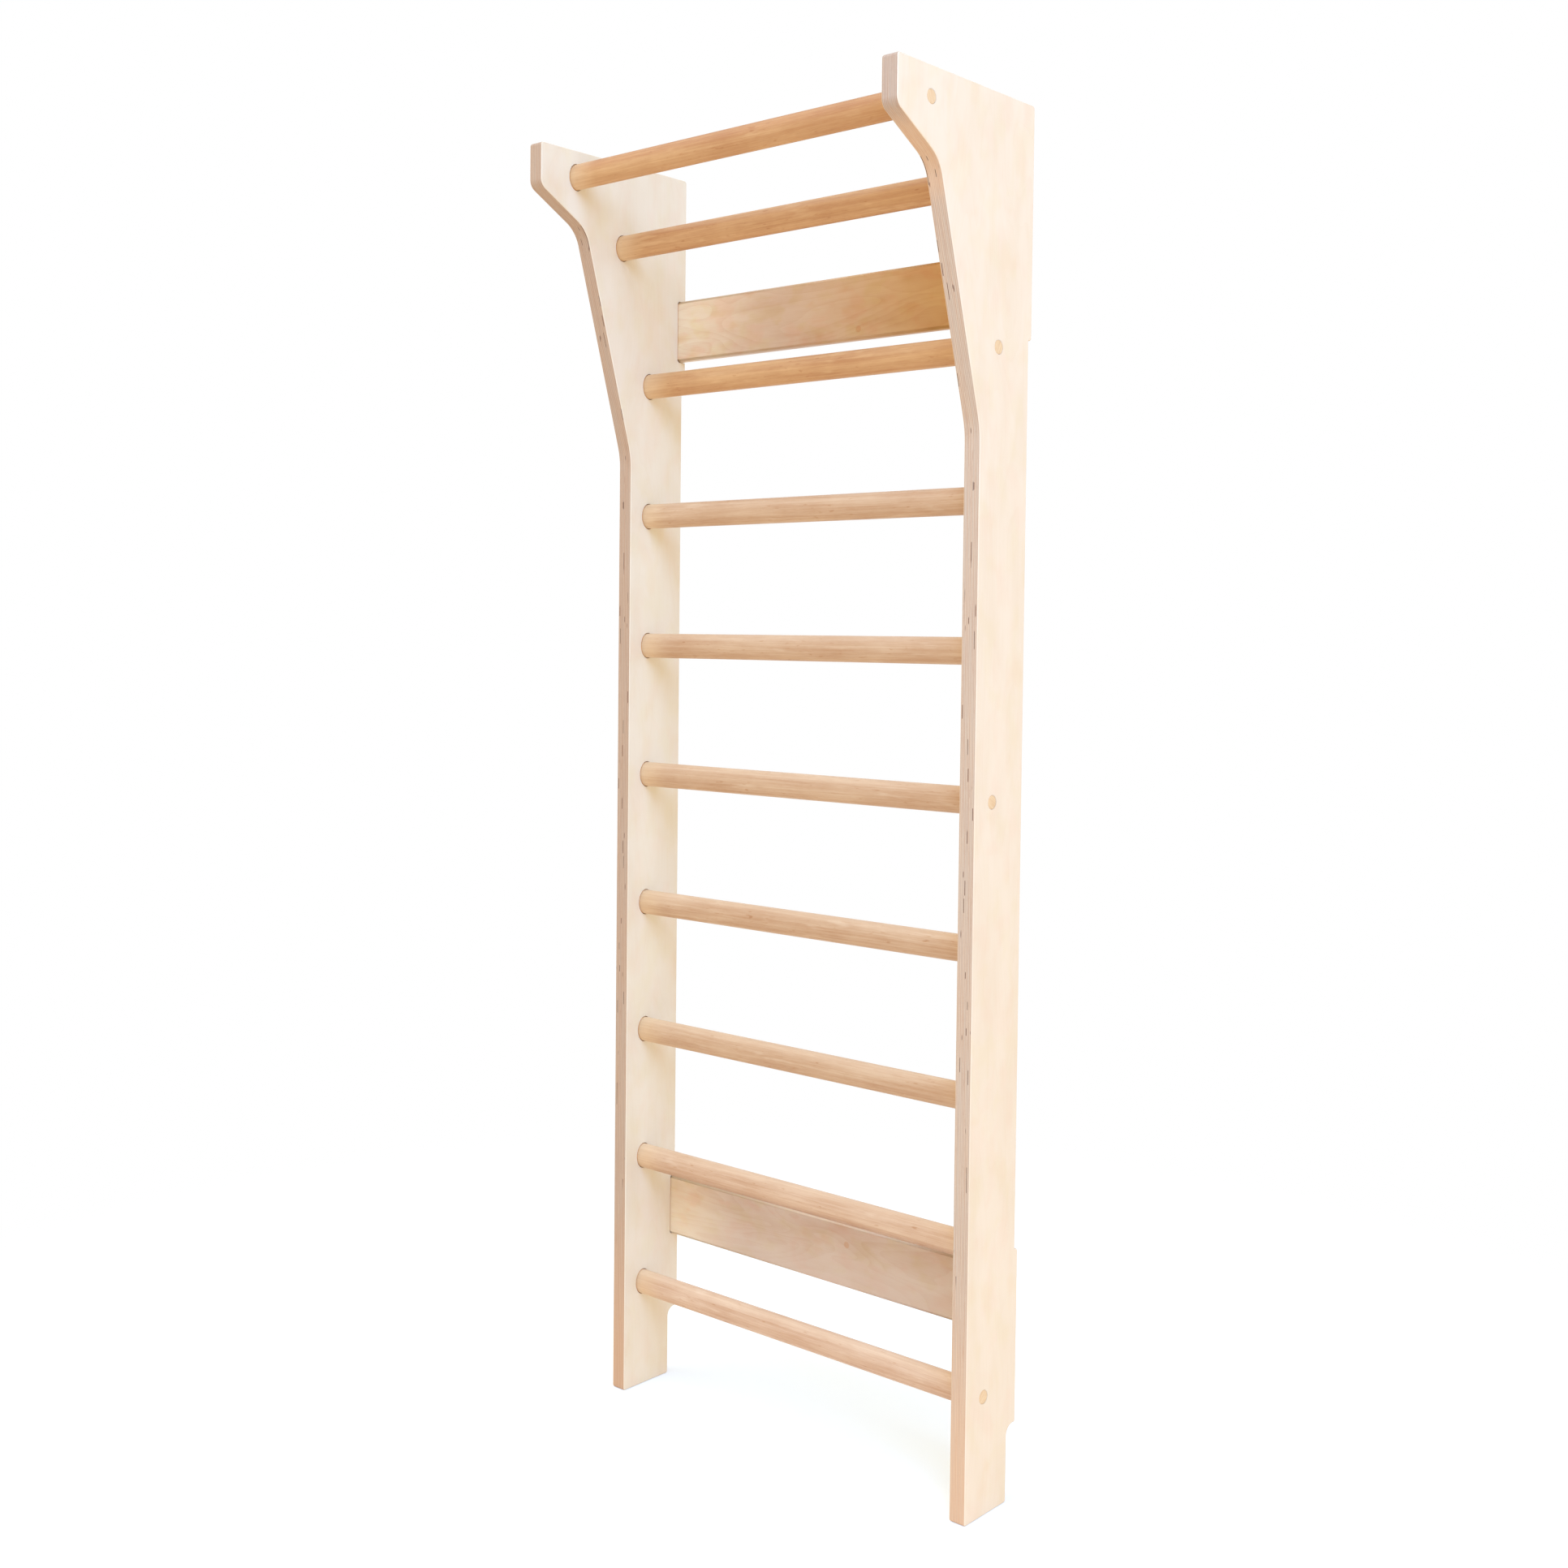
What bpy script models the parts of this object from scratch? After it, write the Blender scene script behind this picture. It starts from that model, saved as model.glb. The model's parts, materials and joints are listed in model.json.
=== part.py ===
"""Wooden wall bars: two plywood side panels, ten oval rungs, two rails, screws and cover plugs.

Metres, +X to the right seen from the front, +Y towards the wall, +Z up.
The origin is at floor level, in the middle of the bounding box.
"""

import math

import bmesh
import bpy
from mathutils import Vector

# Width across the unit
CLEAR_WIDTH = 0.663
PANEL_THICKNESS = 0.027

# Rungs
RUNG_HEIGHT = 0.040
RUNG_DEPTH = 0.030
RUNG_SEGMENTS = 40
COLUMN_RUNGS = 8
BOTTOM_RUNG_LEVEL = 0.1745
RUNG_PITCH = 0.2138
SECOND_RUNG_RISE = 0.2165
SECOND_RUNG_FORWARD = 0.0641
TOP_RUNG_RISE = 0.0945
TOP_RUNG_FORWARD = 0.1027
SOCKET_DEPTH = 0.012
SOCKET_MOUTH_EASE = 0.0012

# Side panel outline
COLUMN_TO_WALL = 0.0834
COLUMN_TO_FRONT_EDGE = 0.0426
TOP_RUNG_TO_TIP = 0.0748
TOP_RUNG_TO_PANEL_TOP = 0.0420
TIP_FACE_HEIGHT = 0.0665
THROAT_DROP = 0.1200
SECOND_RUNG_TO_THROAT = 0.0812
BEND_DROP = 0.4710
BEND_RADIUS = 0.130
THROAT_RADIUS = 0.055
TIP_RADIUS = 0.018
HEAD_CORNER_RADIUS = 0.005
FOOT_CORNER_RADIUS = 0.004
PANEL_ARRIS = 0.002
ARRIS_SEGMENTS = 2

# Wall side of the panel
PAD_PROUD = 0.0075
PAD_PAST_RAIL = 0.0305
PAD_CORNER_RADIUS = 0.0045
PAD_FOOT_RADIUS = 0.0025
SKIRTING_HEIGHT = 0.112
SKIRTING_DEPTH = 0.022
SKIRTING_FILLET = 0.015
SKIRTING_ARRIS = 0.003

# Rails
RAIL_HEIGHT = 0.100
RAIL_THICKNESS = 0.018
RAIL_EDGE_RADIUS = 0.0045
UPPER_RAIL_ABOVE_RUNG = 0.0491
LOWER_RAIL_BELOW_RUNG = 0.0486
HOUSING_DEPTH = 0.012
HOUSING_MOUTH_EASE = 0.0006

# Screws and cover plugs
FASTENED_RUNGS = (1, 3, 6, 10)
PLUG_DIAMETER = 0.020
PLUG_LENGTH = 0.006
PLUG_CHAMFER = 0.0004
PLUG_BORE_DEPTH = 0.010
SCREW_HEAD_DIAMETER = 0.012
SCREW_HEAD_HEIGHT = 0.0034
SCREW_HEAD_ROUND = 0.0008
SCREW_DIAMETER = 0.005
SCREW_LENGTH = 0.060
SCREW_TIP = 0.006
SCREW_TIP_DIAMETER = 0.0010
DRIVE_ACROSS_FLATS = 0.004
DRIVE_DEPTH = 0.0018
ROUND_SEGMENTS = 24
SCREW_SEGMENTS = 12

# Clearances
SEAT_GAP = 0.0003
BORE_GAP = 0.0004
CUT_OVERRUN = 0.002

# How arcs are divided and edges are shaded
ARC_TOLERANCE = 0.0001
SMOOTH_BELOW = math.radians(30)
ARRIS_ABOVE = math.radians(60)

# Colours as they show on screen, 0 to 1
PLY_FACE_COLOUR = (0.965, 0.900, 0.820)
RUNG_COLOUR = (0.860, 0.670, 0.480)
RAIL_COLOUR = (0.845, 0.715, 0.560)
PLUG_COLOUR = (0.950, 0.825, 0.700)
STEEL_COLOUR = (0.640, 0.640, 0.650)

# Levels and depths that follow from the sizes above
TOTAL_DEPTH = COLUMN_TO_WALL + SECOND_RUNG_FORWARD + TOP_RUNG_FORWARD + TOP_RUNG_TO_TIP
WALL_Y = TOTAL_DEPTH / 2
COLUMN_Y = WALL_Y - COLUMN_TO_WALL
SECOND_RUNG_Y = COLUMN_Y - SECOND_RUNG_FORWARD
TOP_RUNG_Y = SECOND_RUNG_Y - TOP_RUNG_FORWARD
THIRD_RUNG_LEVEL = BOTTOM_RUNG_LEVEL + (COLUMN_RUNGS - 1) * RUNG_PITCH
SECOND_RUNG_LEVEL = THIRD_RUNG_LEVEL + SECOND_RUNG_RISE
TOP_RUNG_LEVEL = SECOND_RUNG_LEVEL + TOP_RUNG_RISE
PANEL_HEIGHT = TOP_RUNG_LEVEL + TOP_RUNG_TO_PANEL_TOP
UPPER_RAIL_LEVEL = THIRD_RUNG_LEVEL + UPPER_RAIL_ABOVE_RUNG
LOWER_RAIL_LEVEL = BOTTOM_RUNG_LEVEL + RUNG_PITCH - LOWER_RAIL_BELOW_RUNG - RAIL_HEIGHT
INNER_X = CLEAR_WIDTH / 2
OUTER_X = INNER_X + PANEL_THICKNESS
SIDES = {"left": -1, "right": 1}


def clear_scene():
    """Remove every object of the file that the script runs in."""
    for old in list(bpy.data.objects):
        bpy.data.objects.remove(old, do_unlink=True)


def screen_to_linear(value):
    """One screen colour channel as the linear value that a shader takes."""
    if value <= 0.04045:
        return value / 12.92
    return ((value + 0.055) / 1.055) ** 2.4


def make_material(name, colour, roughness, metallic=0.0):
    """A plain Principled material of one colour."""
    material = bpy.data.materials.new(name)
    material.use_nodes = True
    shader = material.node_tree.nodes["Principled BSDF"]
    shader.inputs["Base Color"].default_value = [screen_to_linear(c) for c in colour] + [1.0]
    shader.inputs["Roughness"].default_value = roughness
    shader.inputs["Metallic"].default_value = metallic
    return material


def add_object(name, mesh, material, parent, location=(0, 0, 0)):
    """A named object that shows the mesh at a place under its parent."""
    obj = bpy.data.objects.new(name, mesh)
    bpy.context.scene.collection.objects.link(obj)
    if not mesh.materials:
        mesh.materials.append(material)
    obj.parent = parent
    obj.location = location
    return obj


def rounded_outline(corners):
    """Points round a closed outline whose corners are (u, v, radius), each corner an arc."""
    points = []
    for index, (u, v, radius) in enumerate(corners):
        corner = Vector((u, v))
        back = Vector(corners[index - 1][:2]) - corner
        ahead = Vector(corners[(index + 1) % len(corners)][:2]) - corner
        back.normalize()
        ahead.normalize()
        turn = math.pi - back.angle(ahead)
        centre = corner + (back + ahead).normalized() * radius / math.cos(turn / 2)
        first = corner + back * radius * math.tan(turn / 2) - centre
        side = 1 if back.x * ahead.y - back.y * ahead.x < 0 else -1
        steps = max(2, math.ceil(turn / 2 / math.acos(1 - ARC_TOLERANCE / radius)))
        for step in range(steps + 1):
            angle = side * turn * step / steps
            cos, sin = math.cos(angle), math.sin(angle)
            offset = Vector((first.x * cos - first.y * sin, first.x * sin + first.y * cos))
            points.append(centre + offset)
    return points


def loft_mesh(name, rings):
    """A closed mesh through rings of equally many points, capped at both ends."""
    work = bmesh.new()
    loops = [[work.verts.new(point) for point in ring] for ring in rings]
    count = len(rings[0])
    for low, high in zip(loops, loops[1:]):
        for index in range(count):
            after = (index + 1) % count
            work.faces.new((low[index], low[after], high[after], high[index]))
    work.faces.new(loops[0][::-1])
    work.faces.new(loops[-1])
    bmesh.ops.recalc_face_normals(work, faces=work.faces)
    mesh = bpy.data.meshes.new(name)
    work.to_mesh(mesh)
    work.free()
    mesh.shade_smooth()
    mesh.set_sharp_from_angle(angle=SMOOTH_BELOW)
    return mesh


def oval_ring(x, half_depth, half_height, segments=RUNG_SEGMENTS, y=0.0, z=0.0):
    """Points of an oval that lies across the X axis."""
    ring = []
    for index in range(segments):
        angle = 2 * math.pi * index / segments
        ring.append((x, y + half_depth * math.cos(angle), z + half_height * math.sin(angle)))
    return ring


def circle_ring(x, radius, segments, y=0.0, z=0.0):
    """Points of a circle that lies across the X axis."""
    return oval_ring(x, radius, radius, segments, y, z)


def hexagon_ring(x, across_flats, segments):
    """Points along a hexagon that lies across the X axis, as many as a circle would have."""
    ring = []
    for index in range(segments):
        angle = 2 * math.pi * index / segments
        from_flat = (angle + math.pi / 6) % (math.pi / 3) - math.pi / 6
        reach = across_flats / 2 / math.cos(from_flat)
        ring.append((x, reach * math.cos(angle), reach * math.sin(angle)))
    return ring


def outline_ring(x, outline):
    """The points of a (y, z) outline at one x."""
    return [(x, point.x, point.y) for point in outline]


def rung_places():
    """The (y, z) of each rung's axis, from rung 1 at the top to the lowest."""
    places = [(TOP_RUNG_Y, TOP_RUNG_LEVEL), (SECOND_RUNG_Y, SECOND_RUNG_LEVEL)]
    for index in range(COLUMN_RUNGS):
        places.append((COLUMN_Y, THIRD_RUNG_LEVEL - index * RUNG_PITCH))
    return places


def rail_outline(level):
    """Section of a rail in (y, z)."""
    front = WALL_Y - RAIL_THICKNESS
    high = level + RAIL_HEIGHT
    return rounded_outline([
        (front, level, RAIL_EDGE_RADIUS),
        (WALL_Y, level, RAIL_EDGE_RADIUS),
        (WALL_Y, high, RAIL_EDGE_RADIUS),
        (front, high, RAIL_EDGE_RADIUS),
    ])


def housing_outline(level, grow):
    """Section of a rail's housing in (y, z), larger than the rail by grow, open to the wall."""
    front = WALL_Y - RAIL_THICKNESS - grow
    low = level - grow
    high = level + RAIL_HEIGHT + grow
    radius = RAIL_EDGE_RADIUS + grow
    open_side = WALL_Y + RAIL_THICKNESS
    return rounded_outline([
        (front, low, radius),
        (open_side, low, RAIL_EDGE_RADIUS),
        (open_side, high, RAIL_EDGE_RADIUS),
        (front, high, radius),
    ])


def panel_outline():
    """Outline of a side panel in (y, z), from the front foot round by the wall and the head."""
    front_edge = COLUMN_Y - COLUMN_TO_FRONT_EDGE
    throat_y = SECOND_RUNG_Y - SECOND_RUNG_TO_THROAT
    tip_y = TOP_RUNG_Y - TOP_RUNG_TO_TIP
    notch_y = WALL_Y - SKIRTING_DEPTH
    relief_y = WALL_Y - PAD_PROUD
    lower_pad_top = LOWER_RAIL_LEVEL + RAIL_HEIGHT + PAD_PAST_RAIL
    upper_pad_foot = UPPER_RAIL_LEVEL - PAD_PAST_RAIL
    return rounded_outline([
        (front_edge, 0.0, FOOT_CORNER_RADIUS),
        (notch_y, 0.0, FOOT_CORNER_RADIUS),
        (notch_y, SKIRTING_HEIGHT, SKIRTING_FILLET),
        (WALL_Y, SKIRTING_HEIGHT, SKIRTING_ARRIS),
        (WALL_Y, lower_pad_top, PAD_CORNER_RADIUS),
        (relief_y, lower_pad_top, PAD_FOOT_RADIUS),
        (relief_y, upper_pad_foot, PAD_FOOT_RADIUS),
        (WALL_Y, upper_pad_foot, PAD_CORNER_RADIUS),
        (WALL_Y, PANEL_HEIGHT, HEAD_CORNER_RADIUS),
        (tip_y, PANEL_HEIGHT, HEAD_CORNER_RADIUS),
        (tip_y, PANEL_HEIGHT - TIP_FACE_HEIGHT, TIP_RADIUS),
        (throat_y, PANEL_HEIGHT - THROAT_DROP, THROAT_RADIUS),
        (front_edge, PANEL_HEIGHT - BEND_DROP, BEND_RADIUS),
    ])


def socket_rings(side, y, z):
    """Rings of the blind oval socket of one rung, from its floor out past the inner face."""
    rings = []
    slope_run = SOCKET_MOUTH_EASE + CUT_OVERRUN
    for x, grow in (
        (INNER_X + SOCKET_DEPTH, SEAT_GAP),
        (INNER_X + SOCKET_MOUTH_EASE, SEAT_GAP),
        (INNER_X - CUT_OVERRUN, SEAT_GAP + slope_run),
    ):
        half_depth = RUNG_DEPTH / 2 + grow
        half_height = RUNG_HEIGHT / 2 + grow
        rings.append(oval_ring(side * x, half_depth, half_height, RUNG_SEGMENTS, y, z))
    return rings


def housing_rings(side, level):
    """Rings of the housing of one rail, from its floor out past the inner face."""
    slope_run = HOUSING_MOUTH_EASE + CUT_OVERRUN
    return [
        outline_ring(side * (INNER_X + HOUSING_DEPTH), housing_outline(level, SEAT_GAP)),
        outline_ring(side * (INNER_X + HOUSING_MOUTH_EASE), housing_outline(level, SEAT_GAP)),
        outline_ring(side * (INNER_X - CUT_OVERRUN), housing_outline(level, SEAT_GAP + slope_run)),
    ]


def fastener_rings(side, y, z):
    """Rings of the stepped hole for a plug and its screw, from outside through to the socket."""
    bore = PLUG_DIAMETER / 2 + SEAT_GAP
    hole = SCREW_DIAMETER / 2 + BORE_GAP
    step = OUTER_X - PLUG_BORE_DEPTH
    inner_end = INNER_X + SOCKET_DEPTH - CUT_OVERRUN
    return [
        circle_ring(side * (OUTER_X + CUT_OVERRUN), bore, ROUND_SEGMENTS, y, z),
        circle_ring(side * step, bore, ROUND_SEGMENTS, y, z),
        circle_ring(side * step, hole, ROUND_SEGMENTS, y, z),
        circle_ring(side * inner_end, hole, ROUND_SEGMENTS, y, z),
    ]


def add_cutter(name, rings, collection):
    """A wire-shown cutter object in the collection that a Boolean reads."""
    cutter = bpy.data.objects.new(name, loft_mesh(name, rings))
    cutter.display_type = "WIRE"
    cutter.hide_render = True
    collection.objects.link(cutter)


def panel_cutters(side_name, side):
    """Everything that is cut out of one side panel, in a collection of its own."""
    collection = bpy.data.collections.new("panel_cuts_" + side_name)
    bpy.context.scene.collection.children.link(collection)
    for number, (y, z) in enumerate(rung_places(), start=1):
        add_cutter(f"socket_cut_{side_name}_{number:02d}", socket_rings(side, y, z), collection)
        if number in FASTENED_RUNGS:
            rings = fastener_rings(side, y, z)
            add_cutter(f"fastener_cut_{side_name}_{number:02d}", rings, collection)
    for label, level in (("upper", UPPER_RAIL_LEVEL), ("lower", LOWER_RAIL_LEVEL)):
        add_cutter(f"housing_cut_{side_name}_{label}", housing_rings(side, level), collection)
    return collection


def add_side_panel(side_name, material, root):
    """One plywood side panel with its sockets, housings and fastener holes."""
    side = SIDES[side_name]
    outline = panel_outline()
    rings = [outline_ring(side * x, outline) for x in (INNER_X, OUTER_X)]
    panel = add_object("side_panel_" + side_name, loft_mesh("side_panel", rings), material, root)
    arris = panel.modifiers.new("arris", "BEVEL")
    arris.width = PANEL_ARRIS
    arris.segments = ARRIS_SEGMENTS
    arris.limit_method = "ANGLE"
    arris.angle_limit = ARRIS_ABOVE
    cuts = panel.modifiers.new("cuts", "BOOLEAN")
    cuts.operation = "DIFFERENCE"
    cuts.operand_type = "COLLECTION"
    cuts.solver = "EXACT"
    cuts.collection = panel_cutters(side_name, side)


def rung_mesh(fastened):
    """A rung about its own middle, with a screw bore in each end where it is fastened."""
    half_length = CLEAR_WIDTH / 2 + SOCKET_DEPTH - SEAT_GAP
    half_depth = RUNG_DEPTH / 2
    half_height = RUNG_HEIGHT / 2
    ends = [
        oval_ring(-half_length, half_depth, half_height),
        oval_ring(half_length, half_depth, half_height),
    ]
    if not fastened:
        return loft_mesh("rung_plain", ends)
    bore = SCREW_DIAMETER / 2 + BORE_GAP
    bore_floor = screw_tip_x() - BORE_GAP
    rings = [
        circle_ring(-bore_floor, bore, RUNG_SEGMENTS),
        circle_ring(-half_length, bore, RUNG_SEGMENTS),
        *ends,
        circle_ring(half_length, bore, RUNG_SEGMENTS),
        circle_ring(bore_floor, bore, RUNG_SEGMENTS),
    ]
    return loft_mesh("rung_bored", rings)


def add_rungs(material, root):
    """The ten rungs, each an object of its own."""
    meshes = {fastened: rung_mesh(fastened) for fastened in (False, True)}
    for number, (y, z) in enumerate(rung_places(), start=1):
        mesh = meshes[number in FASTENED_RUNGS]
        add_object(f"rung_{number:02d}", mesh, material, root, (0, y, z))


def add_rails(material, root):
    """The two rails, whose ends lie in the panels' housings."""
    half_length = CLEAR_WIDTH / 2 + HOUSING_DEPTH - SEAT_GAP
    for label, level in (("upper", UPPER_RAIL_LEVEL), ("lower", LOWER_RAIL_LEVEL)):
        outline = rail_outline(level)
        rings = [outline_ring(-half_length, outline), outline_ring(half_length, outline)]
        add_object("rail_" + label, loft_mesh("rail_" + label, rings), material, root)


def screw_head_x():
    """Distance from the middle to the underside of a screw's head, at rest on its step."""
    return OUTER_X - PLUG_BORE_DEPTH + SEAT_GAP


def screw_tip_x():
    """Distance from the middle to the tip of a screw."""
    return screw_head_x() - SCREW_LENGTH


def screw_mesh(side):
    """A panel screw with a rounded head, a hexagon drive and a pointed shank."""
    head = SCREW_HEAD_DIAMETER / 2
    shank = SCREW_DIAMETER / 2
    seat = screw_head_x()
    top = seat + SCREW_HEAD_HEIGHT
    rings = [
        hexagon_ring(side * (top - DRIVE_DEPTH), DRIVE_ACROSS_FLATS, SCREW_SEGMENTS),
        hexagon_ring(side * top, DRIVE_ACROSS_FLATS, SCREW_SEGMENTS),
        circle_ring(side * top, head - SCREW_HEAD_ROUND, SCREW_SEGMENTS),
        circle_ring(side * (top - SCREW_HEAD_ROUND), head, SCREW_SEGMENTS),
        circle_ring(side * seat, head, SCREW_SEGMENTS),
        circle_ring(side * seat, shank, SCREW_SEGMENTS),
        circle_ring(side * (screw_tip_x() + SCREW_TIP), shank, SCREW_SEGMENTS),
        circle_ring(side * screw_tip_x(), SCREW_TIP_DIAMETER / 2, SCREW_SEGMENTS),
    ]
    return loft_mesh("panel_screw", rings)


def plug_mesh(side):
    """A turned wooden plug, flush with the panel's outer face."""
    radius = PLUG_DIAMETER / 2
    inner = OUTER_X - PLUG_LENGTH
    rings = [
        circle_ring(side * inner, radius - PLUG_CHAMFER, ROUND_SEGMENTS),
        circle_ring(side * (inner + PLUG_CHAMFER), radius, ROUND_SEGMENTS),
        circle_ring(side * (OUTER_X - PLUG_CHAMFER), radius, ROUND_SEGMENTS),
        circle_ring(side * OUTER_X, radius - PLUG_CHAMFER, ROUND_SEGMENTS),
    ]
    return loft_mesh("cover_plug", rings)


def add_fasteners(plug_material, steel, root):
    """A screw and a cover plug at both ends of each fastened rung."""
    places = rung_places()
    for side_name, side in SIDES.items():
        screw = screw_mesh(side)
        plug = plug_mesh(side)
        for number in FASTENED_RUNGS:
            y, z = places[number - 1]
            label = f"{side_name}_{number:02d}"
            add_object("screw_" + label, screw, steel, root, (0, y, z))
            add_object("cover_plug_" + label, plug, plug_material, root, (0, y, z))


def main():
    clear_scene()
    root = bpy.data.objects.new("wall_bars", None)
    bpy.context.scene.collection.objects.link(root)
    panel_wood = make_material("birch_ply", PLY_FACE_COLOUR, 0.45)
    rung_wood = make_material("rung_wood", RUNG_COLOUR, 0.42)
    rail_wood = make_material("rail_ply", RAIL_COLOUR, 0.45)
    plug_wood = make_material("plug_wood", PLUG_COLOUR, 0.45)
    steel = make_material("zinc_steel", STEEL_COLOUR, 0.35, 1.0)
    for side_name in SIDES:
        add_side_panel(side_name, panel_wood, root)
    add_rungs(rung_wood, root)
    add_rails(rail_wood, root)
    add_fasteners(plug_wood, steel, root)


main()
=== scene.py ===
"""Looks of wooden wall bars: plywood side panels, oval rungs, cross rails, plugs and screws."""

import json
import math

import bmesh
import bpy
from mathutils import Color, Matrix, Vector

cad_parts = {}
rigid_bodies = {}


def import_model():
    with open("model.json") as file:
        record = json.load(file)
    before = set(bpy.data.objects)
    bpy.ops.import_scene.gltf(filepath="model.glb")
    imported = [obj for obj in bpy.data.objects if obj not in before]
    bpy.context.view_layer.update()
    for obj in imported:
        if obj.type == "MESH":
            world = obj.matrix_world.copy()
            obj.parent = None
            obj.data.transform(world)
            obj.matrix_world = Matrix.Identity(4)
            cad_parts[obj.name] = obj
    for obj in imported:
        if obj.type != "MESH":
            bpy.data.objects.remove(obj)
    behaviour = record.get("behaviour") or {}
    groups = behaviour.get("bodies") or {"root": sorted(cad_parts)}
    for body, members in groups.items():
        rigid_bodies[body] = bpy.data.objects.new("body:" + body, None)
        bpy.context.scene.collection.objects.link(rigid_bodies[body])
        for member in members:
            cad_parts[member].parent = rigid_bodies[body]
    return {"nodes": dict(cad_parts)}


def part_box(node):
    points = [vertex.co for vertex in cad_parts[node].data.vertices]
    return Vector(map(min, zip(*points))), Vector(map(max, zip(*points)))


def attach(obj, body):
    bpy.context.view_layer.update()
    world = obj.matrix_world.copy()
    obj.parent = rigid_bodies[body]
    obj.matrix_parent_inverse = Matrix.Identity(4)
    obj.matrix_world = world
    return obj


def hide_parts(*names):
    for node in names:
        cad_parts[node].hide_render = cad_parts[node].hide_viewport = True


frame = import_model()

bl_info = {
    "name": "Wall Bars",
    "version": (1, 0, 0),
    "blender": (4, 5, 0),
    "location": "3D View > Sidebar > Wall Bars",
    "description": "Finished plywood and solid wood pieces for a set of wall bars",
    "category": "Add Mesh",
}

SIDES = {"left": -1, "right": 1}
RUNG_NODES = [f"rung_{number:02d}" for number in range(1, 11)]
FASTENED_RUNGS = (1, 3, 6, 10)
RAIL_NODES = ("rail_upper", "rail_lower")
SMOOTH_BELOW = math.radians(30)
ARRIS_ABOVE = math.radians(60)
ARRIS_SEGMENTS = 4
ARC_STEPS = 4
ARC_TOLERANCE = 0.00002
LARGE_FACES_FIRST = 100
QUARTER_TURN = math.radians(90)
NODE_SPACING = 200
CUT_PAST = 0.002
HOUSING_PAST_WALL = 0.018

PANEL_LOW, PANEL_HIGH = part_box("side_panel_right")
INNER_X, OUTER_X = PANEL_LOW.x, PANEL_HIGH.x
BOARD = OUTER_X - INNER_X

# Noises: scales along X, Y and Z, then detail, roughness and distortion
PANEL_CLOUDS = (37.0, 22.0, 7.0), 3.0, 0.5, 0.3
PANEL_FIBRES = (37.0, 620.0, 14.0), 3.0, 0.6
PANEL_PORES = (1500.0, 420.0, 420.0), 2.0, 0.5
RUNG_CLOUDS = (9.0, 30.0, 30.0), 3.0, 0.6
RUNG_STREAKS = (3.0, 150.0, 150.0), 4.0, 0.65, 0.5
RUNG_LINES = (9.0, 480.0, 480.0), 3.0, 0.6, 0.3
RUNG_PORES = (70.0, 1500.0, 1500.0), 2.0, 0.6
RUNG_FLECKS = (55.0, 260.0, 260.0), 1.0, 0.5
RUNG_PATCHES = (13.0, 75.0, 75.0), 2.0, 0.6
RAIL_CLOUDS = (9.0, 0.0, 26.0), 3.0, 0.5, 0.3
RAIL_FIBRES = (20.0, 0.0, 620.0), 3.0, 0.6
PLUG_STREAKS = (1.0, 420.0, 40.0), 3.0, 0.6
STEEL_MOTTLE = (900.0, 900.0, 900.0), 3.0, 0.6

# The same in the edges of plywood, where the number of the layer stands for X or, in the rails, Y
PANEL_STREAKS = (7.31, 14.0, 14.0), 3.0, 0.6
PANEL_LINES = (12.427, 95.0, 95.0), 3.0, 0.6
PANEL_COOL = (0.9, 6.0, 6.0), 2.0, 0.5
PANEL_GAPS = (3.17, 22.0, 22.0), 0.0, 0.5
RAIL_STREAKS = (9.0, 5.1, 9.0), 3.0, 0.6
RAIL_VENEERS = 13

# Growth rings in face veneers: scales along X, Y and Z, number of rings and sharpness
PANEL_RINGS = (37.0, 15.0, 2.2), 16.0, 5.0
RAIL_RINGS = (3.0, 0.0, 15.0), 15.0, 2.0
RING_NOISE = 1.0, 0.4, 0.4

# Blotches in face veneers: scales along X, Y and Z, and strength
PANEL_BLOTCHES = (31.0, 27.0, 17.0), 0.4
RAIL_BLOTCHES = (25.0, 3.0, 45.0), 1.0
BLOTCH_NOISE = 2.0, 0.5, 0.2
STRAW_SHIFT = (41.0, 17.0, 29.0)

# Shares of rings, clouds and fibres in the faces of plywood, of streaks, end grain, lines and
# pores in its edges, and of streaks, clouds, lines and pores in the rungs
PANEL_FIGURE = 0.12, 0.95, 0.16
RAIL_FIGURE = 0.15, 0.85, 0.30
PANEL_GRAIN = 1.0, 0.50, 0.60, 0.20
RAIL_GRAIN = 0.8, 0.30
RUNG_FIGURE = 0.60, 0.45, 0.35, 0.25

# Ranges of a noise: where it starts and stops to rise, and its values there if not 0 and 1
RING_BREAK = 0.97, 1.0, 1.0, 0.0
BLOTCHES = 0.45, 0.70
PANEL_TONE = 0.35, 0.85
PANEL_EDGE_TONE = 0.79, 1.40
COOL_PATCHES = 0.38, 0.62, 0.0, 0.36
GAPS = 0.742, 0.758
RUNG_TONE = 0.49, 1.16
FLECKS = 0.66, 0.80
PALE_PATCHES = 0.58, 0.74, 0.0, 0.30
RAIL_TONE = 0.30, 1.05
RAIL_EDGE_TONE = 0.1, 1.2
PLUG_TONE = 0.35, 0.75
STEEL_TONE = 0.35, 0.70

# The same for the way that a surface faces, up or sideways
UPWARD = 0.2, 0.9
FORWARD_OR_UP = -0.05, 0.35
DOWNWARD = -0.92, -0.15, 1.0, 0.0
LINE_WALL = 0.2, 0.5, 1.0, 0.0
LINE_FLOOR = 0.90, 0.97

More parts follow.
